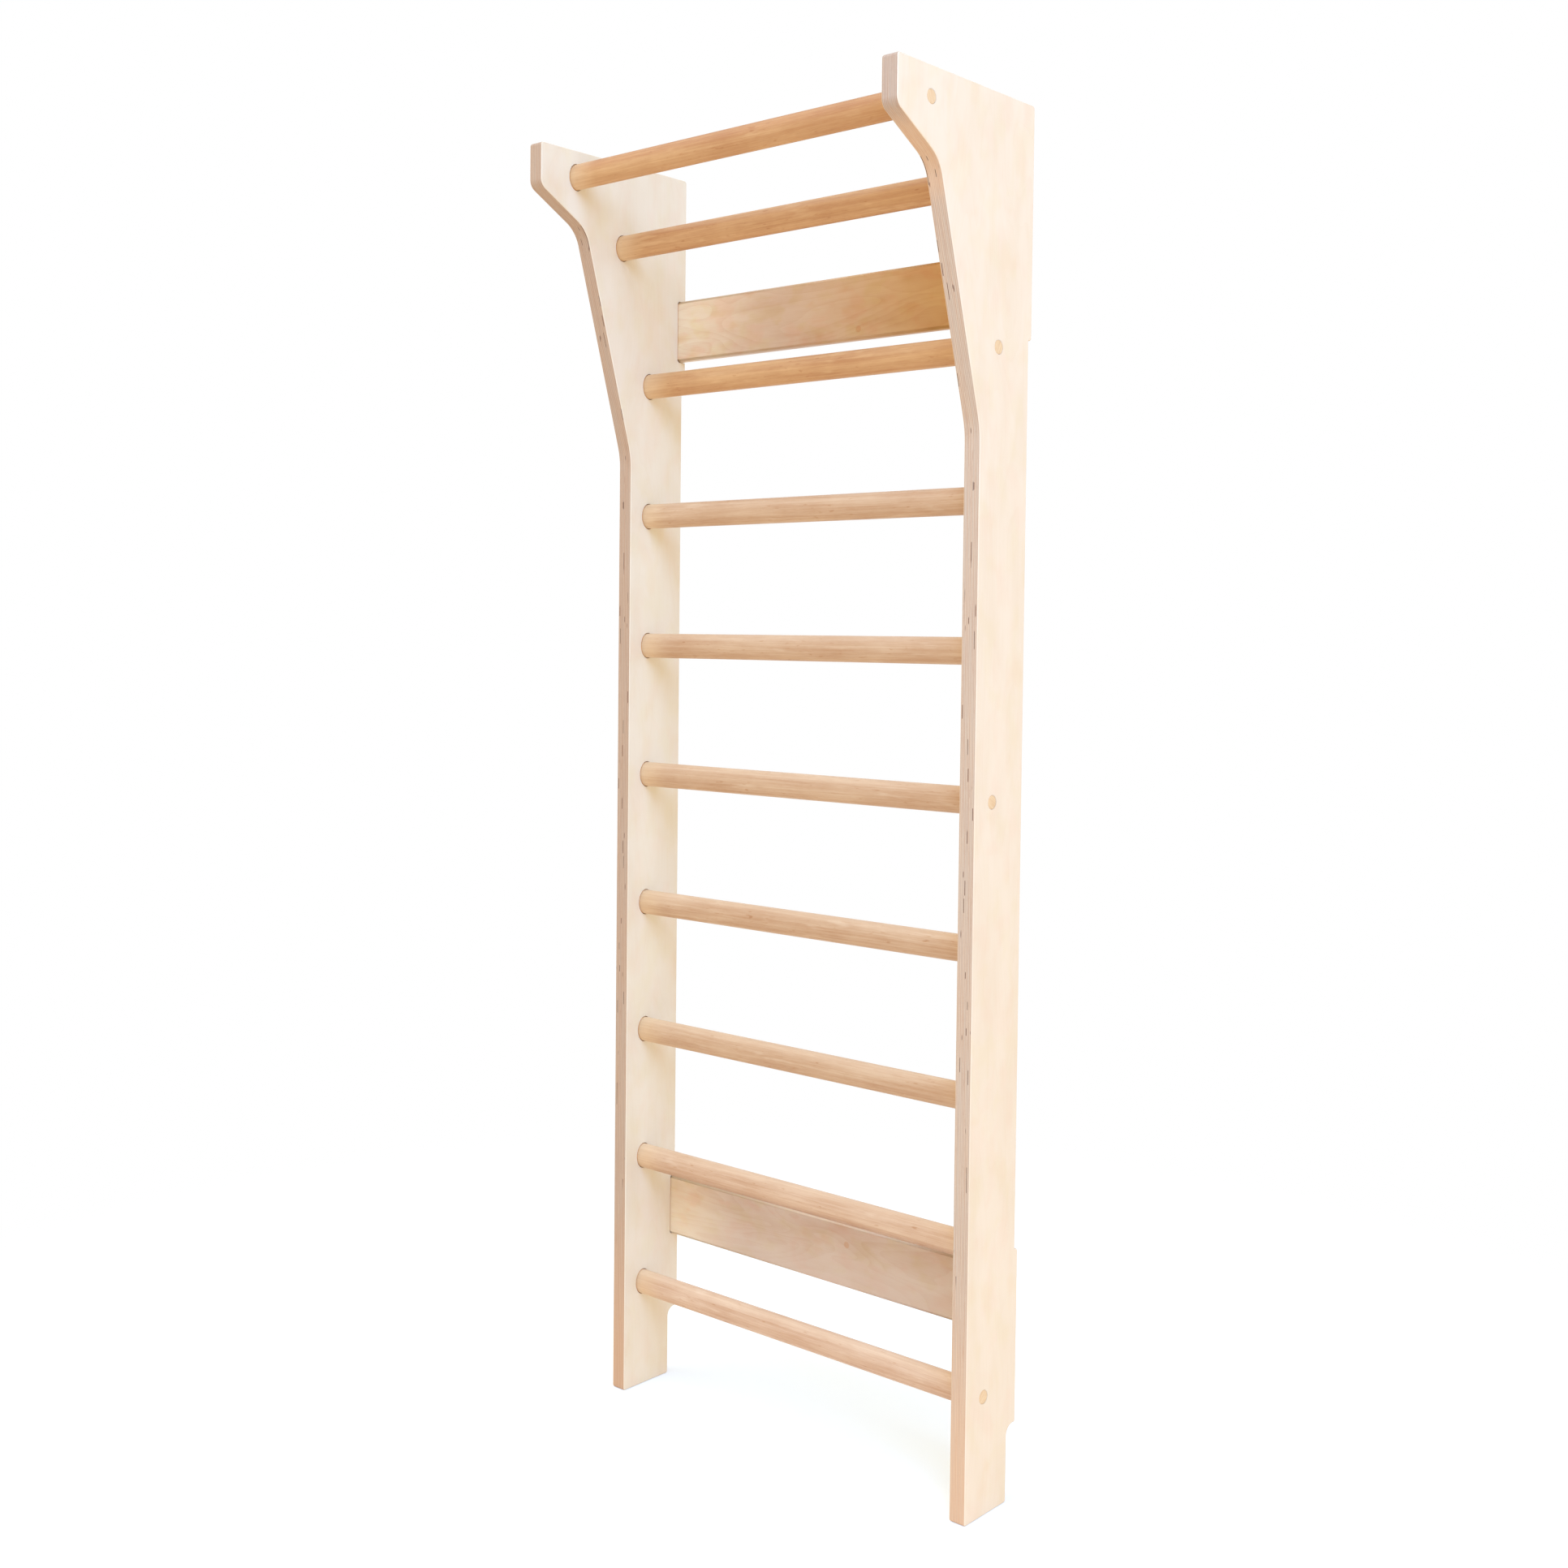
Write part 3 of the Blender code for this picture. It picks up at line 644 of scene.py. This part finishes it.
def rail_wood(finish):
    """Plywood with its face grain along the rail."""
    graph = MaterialGraph("birch_ply_rail")
    x, z = graph.x, graph.z
    low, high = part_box(RAIL_NODES[0])
    depth = graph.math("DIVIDE", graph.math("SUBTRACT", graph.y, low.y), high.y - low.y)
    edge = graph.ramp(graph.off_middle(depth), *RAIL_FACES)
    upper = graph.math("GREATER_THAN", z, BETWEEN_RAILS)

    # Face veneer: clouds, rings and fibres, with painted light low on the lower rail and the ninth
    # rung's painted shadow high on it
    clouds = graph.pattern(*RAIL_CLOUDS)
    fibres = graph.pattern(*RAIL_FIBRES)
    tone = graph.total(RAIL_FIGURE, graph.rings(*RAIL_RINGS), clouds, fibres)
    face = graph.mix(finish.rail_light, finish.rail_dark, (tone, RAIL_TONE))
    face = graph.blotches(face, finish, *RAIL_BLOTCHES)
    face = graph.mix(face, finish.rail_light, (z, RAIL_LOW_FACE))
    face = graph.tinted(face, finish.rail_top_shade, (z, RAIL_HIGH_FACE, LOWER_RAIL))

    # One small round knot in each rail
    across = graph.math("SUBTRACT", x, graph.blend(upper, *KNOT_X))
    up = graph.math("SUBTRACT", z, graph.blend(upper, *KNOT_HEIGHT))
    reach = graph.vector_math("LENGTH", graph.vector(across, 0.0, up), output="Value")
    face = graph.tinted(face, finish.knot_tint, (reach, KNOT_RADIUS))

    # Layered edges
    end_grain, layer, _ = veneer_layers(graph, depth, RAIL_VENEERS, 0.0)
    streaks = graph.pattern(*RAIL_STREAKS, place=graph.vector(x, layer, z))
    grain = graph.total(RAIL_GRAIN, streaks, end_grain)
    layered = graph.mix(finish.rail_light, finish.rail_edge, (grain, RAIL_EDGE_TONE))
    colour = graph.mix(face, layered, edge)

    # Painted warm shade to the right on the upper rail, painted shade away from the left ends, and
    # a painted highlight along the lower rail's rounded upper edge
    warm_shade_mask = (z, UPPER_RAIL), (x, RAIL_WARM_SHADE), (depth, RAIL_FRONT)
    colour = graph.tinted(colour, finish.painted_warm_shade, *warm_shade_mask)
    # Painted shade away from the left ends
    shades = (graph.ramp(x, *limits) for limits in RAIL_SHADE)
    colour = graph.tinted(colour, finish.rail_shade, graph.blend(upper, *shades))
    # Painted highlight along the lower rail's rounded upper edge
    lit_arris = (z, LIT_ARRIS, LOWER_RAIL), (x, LIT_ARRIS_LENGTH)
    colour = graph.mix(colour, finish.rail_light, *lit_arris)
    # Painted warm shade on the rail ends inside the housings
    colour = graph.sunk_ends(colour, finish)
    return graph.finish(colour, finish.face_roughness, fibres, finish.relief)


def plug_wood(finish):
    """Side grain wood of the turned plugs, each turned its own way."""
    graph = MaterialGraph("turned_plug_wood")
    face = graph.vector(0.0, graph.y, graph.z)
    inputs = {"Vector": face, "Angle": graph.product(graph.board(), math.tau)}
    turned = graph.add("ShaderNodeVectorRotate", inputs, rotation_type="X_AXIS").outputs[0]
    streaks = graph.pattern(*PLUG_STREAKS, place=turned)
    colour = graph.mix(finish.plug_light, finish.plug_dark, (streaks, PLUG_TONE))
    return graph.finish(colour, finish.face_roughness, streaks, finish.relief)


def screw_steel(finish):
    """Zinc plated steel with a faint mottle."""
    graph = MaterialGraph("plated_screw_steel")
    mottle = graph.pattern(*STEEL_MOTTLE)
    colour = graph.mix(finish.steel, finish.steel * STEEL_DULL, (mottle, STEEL_TONE))
    roughness = graph.math("MULTIPLY_ADD", mottle, *STEEL_ROUGHNESS)
    return graph.finish(colour, roughness, mottle, STEEL_RELIEF, Metallic=1.0)


def new_object(name, data, material=None):
    """An object at the origin with its data and, for a mesh, its material."""
    piece = bpy.data.objects.new(name, data)
    bpy.context.scene.collection.objects.link(piece)
    if material:
        data.materials.clear()
        data.materials.append(material)
    return piece


def hand_over(piece, node):
    """Lets the piece stand for a CAD node on the one body."""
    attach(piece, "root")
    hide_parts(node)


def applied_mesh(helper):
    """The mesh of a helper object with its modifiers applied. The helper is removed."""
    graph = bpy.context.evaluated_depsgraph_get()
    mesh = bpy.data.meshes.new_from_object(helper.evaluated_get(graph), depsgraph=graph)
    bpy.data.objects.remove(helper, do_unlink=True)
    return mesh


def modify(piece, kind, **settings):
    """Adds a modifier with its settings."""
    modifier = piece.modifiers.new(kind.lower(), kind)
    for name, value in settings.items():
        setattr(modifier, name, value)
    return modifier


def rounded_outline(corners):
    """Points round a closed outline whose corners are (u, v, radius), each corner an arc."""
    points = []
    for index, (u, v, radius) in enumerate(corners):
        corner = Vector((u, v))
        back = (Vector(corners[index - 1][:2]) - corner).normalized()
        ahead = (Vector(corners[(index + 1) % len(corners)][:2]) - corner).normalized()
        turn = math.pi - back.angle(ahead)
        centre = corner + (back + ahead).normalized() * radius / math.cos(turn / 2)
        first = corner + back * radius * math.tan(turn / 2) - centre
        side = 1 if back.x * ahead.y - back.y * ahead.x < 0 else -1
        steps = max(ARC_STEPS, math.ceil(turn / 2 / math.acos(1 - ARC_TOLERANCE / radius)))
        for step in range(steps + 1):
            points.append(centre + Matrix.Rotation(side * turn * step / steps, 2) @ first)
    return points


def loft_mesh(name, rings):
    """A closed mesh through rings of equally many points, capped at both ends."""
    work = bmesh.new()
    loops = [[work.verts.new(point) for point in ring] for ring in rings]
    for low, high in zip(loops, loops[1:]):
        for index in range(len(low)):
            after = (index + 1) % len(low)
            work.faces.new((low[index], low[after], high[after], high[index]))
    work.faces.new(loops[0][::-1])
    work.faces.new(loops[-1])
    bmesh.ops.recalc_face_normals(work, faces=work.faces)
    mesh = bpy.data.meshes.new(name)
    work.to_mesh(mesh)
    work.free()
    mesh.shade_smooth()
    return mesh


def oval_ring(x, middle, half_depth, half_height, sides):
    """Points of an oval across the X axis."""
    ring = []
    for index in range(sides):
        turn = math.tau * index / sides
        z = middle.z + half_height * math.sin(turn)
        ring.append((x, middle.y + half_depth * math.cos(turn), z))
    return ring


def panel_outline(shape):
    """Outline of a side panel in (y, z)."""
    front = node_middle("rung_10").y - shape.front_edge
    throat = node_middle("rung_02").y - shape.throat_forward
    wall, top = PANEL_HIGH.y, PANEL_HIGH.z
    notch = wall - shape.notch_depth
    relief = wall - shape.pad_proud
    pad_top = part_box("rail_lower")[1].z + shape.pad_past_rail
    pad_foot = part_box("rail_upper")[0].z - shape.pad_past_rail
    return rounded_outline([
        (front, 0.0, shape.foot_corner),
        (notch, 0.0, shape.foot_corner),
        (notch, shape.notch_height, shape.notch_fillet),
        (wall, shape.notch_height, shape.notch_arris),
        (wall, pad_top, shape.pad_corner),
        (relief, pad_top, shape.pad_foot),
        (relief, pad_foot, shape.pad_foot),
        (wall, pad_foot, shape.pad_corner),
        (wall, top, shape.head_corner),
        (PANEL_LOW.y, top, shape.head_corner),
        (PANEL_LOW.y, top - shape.tip_face, shape.tip_radius),
        (throat, top - shape.throat_drop, shape.throat_radius),
        (front, top - shape.bend_drop, shape.bend_radius),
    ])


def rail_outline(node, radius, grow=0.0, open_back=0.0):
    """Section of a rail in (y, z), or of its housing, which is larger and open to the wall."""
    low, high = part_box(node)
    back = high.y + open_back
    return rounded_outline([
        (low.y - grow, low.z - grow, radius + grow),
        (back, low.z - grow, radius),
        (back, high.z + grow, radius),
        (low.y - grow, high.z + grow, radius + grow),
    ])


def outline_ring(x, outline):
    """The points of a (y, z) outline at one x."""
    return [(x, point.x, point.y) for point in outline]


def cut_steps(shape, line):
    """Places along a stepped cut into a panel, each with the room that it leaves there."""
    return (
        (INNER_X + shape.socket_depth, shape.fit),
        (INNER_X + shape.line_depth, shape.fit),
        (INNER_X + shape.line_depth, shape.fit + line),
        (INNER_X - CUT_PAST, shape.fit + line),
    )


def socket_cutters(side, shape, sizes):
    """Meshes of the sockets, housings and plug holes in one panel."""
    cutters = []
    for number, node in enumerate(RUNG_NODES, start=1):
        low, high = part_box(node)
        middle = node_middle(node)
        depth, height = (high.y - low.y) / 2, (high.z - low.z) / 2
        rings = [
            oval_ring(side * x, middle, depth + room, height + room, sizes.rung_sides)
            for x, room in cut_steps(shape, shape.socket_line)
        ]
        cutters.append(loft_mesh("socket_cut", rings))
        if number in FASTENED_RUNGS:
            plug_low, plug_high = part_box(f"cover_plug_right_{number:02d}")
            radius = (plug_high.z - plug_low.z) / 2 + shape.fit
            rings = [
                oval_ring(side * x, middle, radius, radius, sizes.plug_sides)
                for x in (plug_low.x - CUT_PAST, OUTER_X + CUT_PAST)
            ]
            cutters.append(loft_mesh("plug_cut", rings))
    for node in RAIL_NODES:
        rings = []
        for x, room in cut_steps(shape, shape.housing_line):
            outline = rail_outline(node, sizes.rail_edge, room, HOUSING_PAST_WALL)
            rings.append(outline_ring(side * x, outline))
        cutters.append(loft_mesh("housing_cut", rings))
    return cutters


def panel_mesh(side, shape, sizes):
    """A side panel with rounded edges, sockets, housings and plug holes."""
    outline = panel_outline(shape)
    rings = [outline_ring(side * x, outline) for x in (INNER_X, OUTER_X)]
    slab = new_object("slab", loft_mesh("slab", rings))
    arris = {"limit_method": "ANGLE", "angle_limit": ARRIS_ABOVE, "segments": ARRIS_SEGMENTS}
    modify(slab, "BEVEL", width=shape.arris, **arris)
    cuts = bpy.data.collections.new("panel_cuts")
    bpy.context.scene.collection.children.link(cuts)
    for mesh in socket_cutters(side, shape, sizes):
        cuts.objects.link(bpy.data.objects.new(mesh.name, mesh))
    cut = {"operation": "DIFFERENCE", "operand_type": "COLLECTION", "solver": "EXACT"}
    modify(slab, "BOOLEAN", **cut, collection=cuts)
    modify(slab, "WEIGHTED_NORMAL", weight=LARGE_FACES_FIRST, keep_sharp=True)
    mesh = applied_mesh(slab)
    for cutter in list(cuts.objects):
        bpy.data.objects.remove(cutter, do_unlink=True)
    bpy.data.collections.remove(cuts)
    return mesh


def start_tree(name, measures):
    """A geometry node tree, and its inputs by name: the points, measures, sides and seed."""
    tree = bpy.data.node_groups.new(name, "GeometryNodeTree")
    kinds = {"Geometry": "Geometry", **dict.fromkeys(measures, "Float")}
    for label, kind in (*kinds.items(), ("Sides", "Int"), ("Seed", "Int")):
        tree.interface.new_socket(label, in_out="INPUT", socket_type=f"NodeSocket{kind}")
    tree.interface.new_socket("Geometry", in_out="OUTPUT", socket_type="NodeSocketGeometry")
    return tree, tree.nodes.new("NodeGroupInput").outputs


def end_tree(tree, entry, upright, material, scale=(1.0, 1.0, 1.0)):
    """Lays the shape along X, sets one with its number and board at each point, and coats it."""
    laid = {"Geometry": upright, "Rotation": (0.0, QUARTER_TURN, 0.0), "Scale": scale}
    piece = tree_node(tree, "GeometryNodeTransform", laid).outputs[0]
    spread = {"Points": entry["Geometry"], "Instance": piece}
    geometry = tree_node(tree, "GeometryNodeInstanceOnPoints", spread).outputs[0]
    index = tree_node(tree, "GeometryNodeInputIndex").outputs[0]
    draw = {"Seed": entry["Seed"], "ID": index}
    board = tree_node(tree, "FunctionNodeRandomValue", draw, data_type="FLOAT").outputs[1]
    for name, value, kind in (("number", index, "INT"), ("board", board, "FLOAT")):
        inputs = {"Geometry": geometry, "Name": name, "Value": value}
        settings = {"data_type": kind, "domain": "INSTANCE"}
        stored = tree_node(tree, "GeometryNodeStoreNamedAttribute", inputs, **settings)
        geometry = stored.outputs[0]
    geometry = tree_node(tree, "GeometryNodeRealizeInstances", {0: geometry}).outputs[0]
    coat = {"Geometry": geometry, "Material": material}
    coated = tree_node(tree, "GeometryNodeSetMaterial", coat)
    tree_node(tree, "NodeGroupOutput", {0: coated.outputs[0]}, is_active_output=True)
    return tree


def round_rod(tree, entry, radius, depth):
    """Outputs of a round rod that stands upright."""
    inputs = {"Vertices": entry["Sides"], "Side Segments": 1, "Radius": radius, "Depth": depth}
    return tree_node(tree, "GeometryNodeMeshCylinder", inputs).outputs


def rung_tree(material):
    """Tree that sets an oval rung at each point, scaled from a rod one metre across and long."""
    tree, entry = start_tree("oval_rungs", ("Length", "Depth", "Height"))
    rod = round_rod(tree, entry, 0.5, 1.0)
    section = {0: entry["Height"], 1: entry["Depth"], 2: entry["Length"]}
    scale = tree_node(tree, "ShaderNodeCombineXYZ", section).outputs[0]
    return end_tree(tree, entry, rod["Mesh"], material, scale)


def plug_tree(material):
    """Tree that sets a chamfered round plug at each point."""
    tree, entry = start_tree("round_plugs", ("Length", "Radius", "Chamfer"))
    radius, chamfer = entry["Radius"], entry["Chamfer"]
    both = tree_math(tree, "MULTIPLY", chamfer, 2.0)
    disc = round_rod(tree, entry, radius, tree_math(tree, "SUBTRACT", entry["Length"], both))
    faces = {0: disc["Top"], 1: disc["Bottom"]}
    ends = tree_node(tree, "FunctionNodeBooleanMath", faces, operation="OR").outputs[0]
    raise_ends = {"Mesh": disc["Mesh"], "Selection": ends, "Offset Scale": chamfer}
    raised = tree_node(tree, "GeometryNodeExtrudeMesh", raise_ends).outputs
    ratio = tree_math(tree, "DIVIDE", tree_math(tree, "SUBTRACT", radius, chamfer), radius)
    narrow = {"Geometry": raised["Mesh"], "Selection": raised["Top"], "Scale": ratio}
    chamfered = tree_node(tree, "GeometryNodeScaleElements", narrow)
    return end_tree(tree, entry, chamfered.outputs[0], material)


def split_by_number(mesh, total):
    """One mesh for each of the numbered pieces."""
    parts = []
    for wanted in range(total):
        work = bmesh.new()
        work.from_mesh(mesh)
        layer = work.verts.layers.int["number"]
        others = [vert for vert in work.verts if vert[layer] != wanted]
        bmesh.ops.delete(work, geom=others, context="VERTS")
        part = bpy.data.meshes.new(mesh.name)
        for face in work.faces:
            face.material_index = 0
        work.to_mesh(part)
        work.free()
        part.materials.append(mesh.materials[-1])
        part.shade_smooth()
        part.set_sharp_from_angle(angle=SMOOTH_BELOW)
        parts.append(part)
    return parts


def like_pieces(name, nodes, tree, values):
    """Each node with its mesh, made by the tree on points in the nodes' middles.

    The inputs of the tree are set by their identifiers.
    """
    mesh = bpy.data.meshes.new(name)
    mesh.from_pydata([node_middle(node) for node in nodes], [], [])
    points = new_object(name, mesh)
    modifier = modify(points, "NODES", node_group=tree)
    for item in tree.interface.items_tree:
        if item.in_out == "INPUT" and item.name in values:
            modifier[item.identifier] = values[item.name]
    return zip(nodes, split_by_number(applied_mesh(points), len(nodes)))


class WALLBARS_OT_side_panels(bpy.types.Operator):
    """Make both plywood side panels with their sockets, housings and plug holes"""

    bl_idname = "wall_bars.side_panels"
    bl_label = "Side Panels"

    def execute(self, context):
        scene = context.scene
        material = panel_wood(scene.wall_bars_finish)
        for side_name, side in SIDES.items():
            mesh = panel_mesh(side, scene.wall_bars_panel, scene.wall_bars_pieces)
            piece = new_object(f"plywood_panel_{side_name}", mesh, material)
            hand_over(piece, f"side_panel_{side_name}")
        return {"FINISHED"}


class WALLBARS_OT_rungs(bpy.types.Operator):
    """Make the ten oval rungs"""

    bl_idname = "wall_bars.rungs"
    bl_label = "Rungs"

    def execute(self, context):
        sizes = context.scene.wall_bars_pieces
        low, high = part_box(RUNG_NODES[0])
        tree = rung_tree(rung_wood(context.scene.wall_bars_finish))
        for node, mesh in like_pieces("rung_places", RUNG_NODES, tree, {
            "Length": high.x - low.x,
            "Depth": high.y - low.y,
            "Height": high.z - low.z,
            "Sides": sizes.rung_sides,
            "Seed": sizes.board_seed,
        }):
            hand_over(new_object("oval_" + node, mesh), node)
        return {"FINISHED"}


class WALLBARS_OT_rails(bpy.types.Operator):
    """Make the two plywood cross rails"""

    bl_idname = "wall_bars.rails"
    bl_label = "Rails"

    def execute(self, context):
        scene = context.scene
        material = rail_wood(scene.wall_bars_finish)
        for node in RAIL_NODES:
            low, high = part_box(node)
            outline = rail_outline(node, scene.wall_bars_pieces.rail_edge)
            rings = [outline_ring(x, outline) for x in (low.x, high.x)]
            bar = new_object("bar", loft_mesh("bar", rings))
            modify(bar, "WEIGHTED_NORMAL", weight=LARGE_FACES_FIRST)
            piece = new_object("plywood_" + node, applied_mesh(bar), material)
            hand_over(piece, node)
        return {"FINISHED"}


class WALLBARS_OT_cover_plugs(bpy.types.Operator):
    """Make the round wooden plugs over the screws"""

    bl_idname = "wall_bars.cover_plugs"
    bl_label = "Cover Plugs"

    def execute(self, context):
        sizes = context.scene.wall_bars_pieces
        nodes = [f"cover_plug_{side}_{number:02d}" for side in SIDES for number in FASTENED_RUNGS]
        low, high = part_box(nodes[0])
        tree = plug_tree(plug_wood(context.scene.wall_bars_finish))
        for node, mesh in like_pieces("plug_places", nodes, tree, {
            "Length": high.x - low.x,
            "Radius": (high.z - low.z) / 2,
            "Chamfer": sizes.plug_chamfer,
            "Sides": sizes.plug_sides,
            "Seed": sizes.board_seed,
        }):
            hand_over(new_object("turned_" + node, mesh), node)
        return {"FINISHED"}


class WALLBARS_OT_screws(bpy.types.Operator):
    """Give the hidden screws their plated steel"""

    bl_idname = "wall_bars.screws"
    bl_label = "Screws"

    def execute(self, context):
        material = screw_steel(context.scene.wall_bars_finish)
        for name, node in frame["nodes"].items():
            if name.startswith("screw_"):
                node.data.materials.clear()
                node.data.materials.append(material)
        return {"FINISHED"}


def add_camera(settings):
    """The camera at the height and angle of the picture."""
    data = bpy.data.cameras.new("camera")
    data.sensor_width = SENSOR_WIDTH
    data.lens = settings.lens
    data.shift_x, data.shift_y = settings.shift
    camera = new_object("camera", data)
    turn = Matrix.Rotation(settings.camera_turn, 4, "Z")
    tilt = Matrix.Rotation(QUARTER_TURN + settings.camera_tilt, 4, "X")
    roll = Matrix.Rotation(settings.camera_roll, 4, "Z")
    camera.matrix_world = Matrix.Translation(settings.camera_place) @ turn @ tilt @ roll
    bpy.context.scene.camera = camera


def add_lamp(name, power, place, size, colour):
    """A soft square lamp that shines from a place towards the middle of the wall bars."""
    data = bpy.data.lights.new(name, "AREA")
    data.shape = "SQUARE"
    data.size = size
    data.energy = power
    data.color = colour
    lamp = new_object(name, data)
    lamp.location = place
    aim = LAMP_TARGET - Vector(place)
    lamp.rotation_euler = aim.to_track_quat("-Z", "Y").to_euler()
    lamp.visible_camera = False


def add_floor(settings):
    """A pale floor that fades to white away from the wall bars and keeps their shadow."""
    work = bmesh.new()
    bmesh.ops.create_grid(work, x_segments=1, y_segments=1, size=FLOOR_REACH)
    mesh = bpy.data.meshes.new("floor")
    work.to_mesh(mesh)
    work.free()
    mesh.transform(Matrix.Translation((0.0, 0.0, FLOOR_HEIGHT)))
    graph = MaterialGraph("pale_floor")
    tree, shader = graph.tree, graph.shader
    seen = seen_rays(tree)
    colour = graph.mix(settings.floor_colour, FLOOR_SEEN, seen)
    fill_inputs(tree, shader, {"Base Color": colour, "Roughness": FLOOR_ROUGHNESS})
    white = graph.add("ShaderNodeEmission", {"Color": WHITE, "Strength": 1.0})
    lift = graph.product(seen, settings.floor_lift)
    glow = graph.add("ShaderNodeEmission", {"Color": FLOOR_GLOW, "Strength": lift})
    near = graph.add("ShaderNodeAddShader", {0: shader.outputs[0], 1: glow.outputs[0]})
    away = graph.vector_math("LENGTH", graph.place, output="Value")
    fade = graph.product(seen, graph.ramp(away, *FLOOR_FADE))
    mixed = graph.add("ShaderNodeMixShader", {0: fade, 1: near.outputs[0], 2: white.outputs[0]})
    fill_inputs(tree, tree.nodes["Material Output"], {"Surface": mixed.outputs[0]})
    new_object("floor", mesh, graph.material)


def add_world(settings):
    """An even soft light from all round that the camera sees as white."""
    world = bpy.data.worlds.new("studio")
    bpy.context.scene.world = world
    world.use_nodes = True
    tree = world.node_tree
    seen = seen_rays(tree)
    strength = tree_node(tree, "ShaderNodeMix", {0: seen, 2: settings.surround, 3: 1.0})
    colours = {0: seen, 6: settings.surround_colour, 7: WHITE}
    colour = tree_node(tree, "ShaderNodeMix", colours, data_type="RGBA")
    light = {"Strength": strength.outputs[0], "Color": colour.outputs[2]}
    fill_inputs(tree, tree.nodes["Background"], light)


class WALLBARS_OT_stage(bpy.types.Operator):
    """Add the camera, the lamps, the white surround and the floor"""

    bl_idname = "wall_bars.stage"
    bl_label = "Stage"

    def execute(self, context):
        settings = context.scene.wall_bars_stage
        add_camera(settings)
        add_lamp("key", settings.key_power, *KEY_LAMP)
        add_lamp("top", settings.top_power, *TOP_LAMP)
        add_world(settings)
        add_floor(settings)
        context.scene.view_settings.view_transform = "Standard"
        return {"FINISHED"}


class WALLBARS_PT_panel(bpy.types.Panel):
    """Sidebar panel that lists the pieces and their settings"""

    bl_idname = "WALLBARS_PT_panel"
    bl_label = "Wall Bars"
    bl_space_type = "VIEW_3D"
    bl_region_type = "UI"
    bl_category = "Wall Bars"

    def draw(self, context):
        for operator in OPERATORS:
            self.layout.operator(operator.bl_idname)
        for group in SETTINGS:
            settings = getattr(context.scene, group)
            box = self.layout.box()
            box.label(text=group.removeprefix("wall_bars_").title())
            for name in settings.__annotations__:
                box.prop(settings, name)


OPERATORS = (
    WALLBARS_OT_side_panels,
    WALLBARS_OT_rungs,
    WALLBARS_OT_rails,
    WALLBARS_OT_cover_plugs,
    WALLBARS_OT_screws,
    WALLBARS_OT_stage,
)
SETTINGS = {
    "wall_bars_panel": PanelShape,
    "wall_bars_pieces": PieceSizes,
    "wall_bars_finish": WoodFinish,
    "wall_bars_stage": StageSettings,
}
CLASSES = (*SETTINGS.values(), *OPERATORS, WALLBARS_PT_panel)


def register():
    """Registers the classes and puts their settings on the scene."""
    for cls in CLASSES:
        bpy.utils.register_class(cls)
    for name, group in SETTINGS.items():
        setattr(bpy.types.Scene, name, bpy.props.PointerProperty(type=group))


def unregister():
    """Takes the settings and the classes away again."""
    for name in SETTINGS:
        delattr(bpy.types.Scene, name)
    for cls in reversed(CLASSES):
        bpy.utils.unregister_class(cls)


def main():
    """Makes every piece and the stage."""
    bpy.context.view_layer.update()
    register()
    bpy.ops.wall_bars.side_panels()
    bpy.ops.wall_bars.rungs()
    bpy.ops.wall_bars.rails()
    bpy.ops.wall_bars.cover_plugs()
    bpy.ops.wall_bars.screws()
    bpy.ops.wall_bars.stage()


if __name__ == "__main__":
    main()
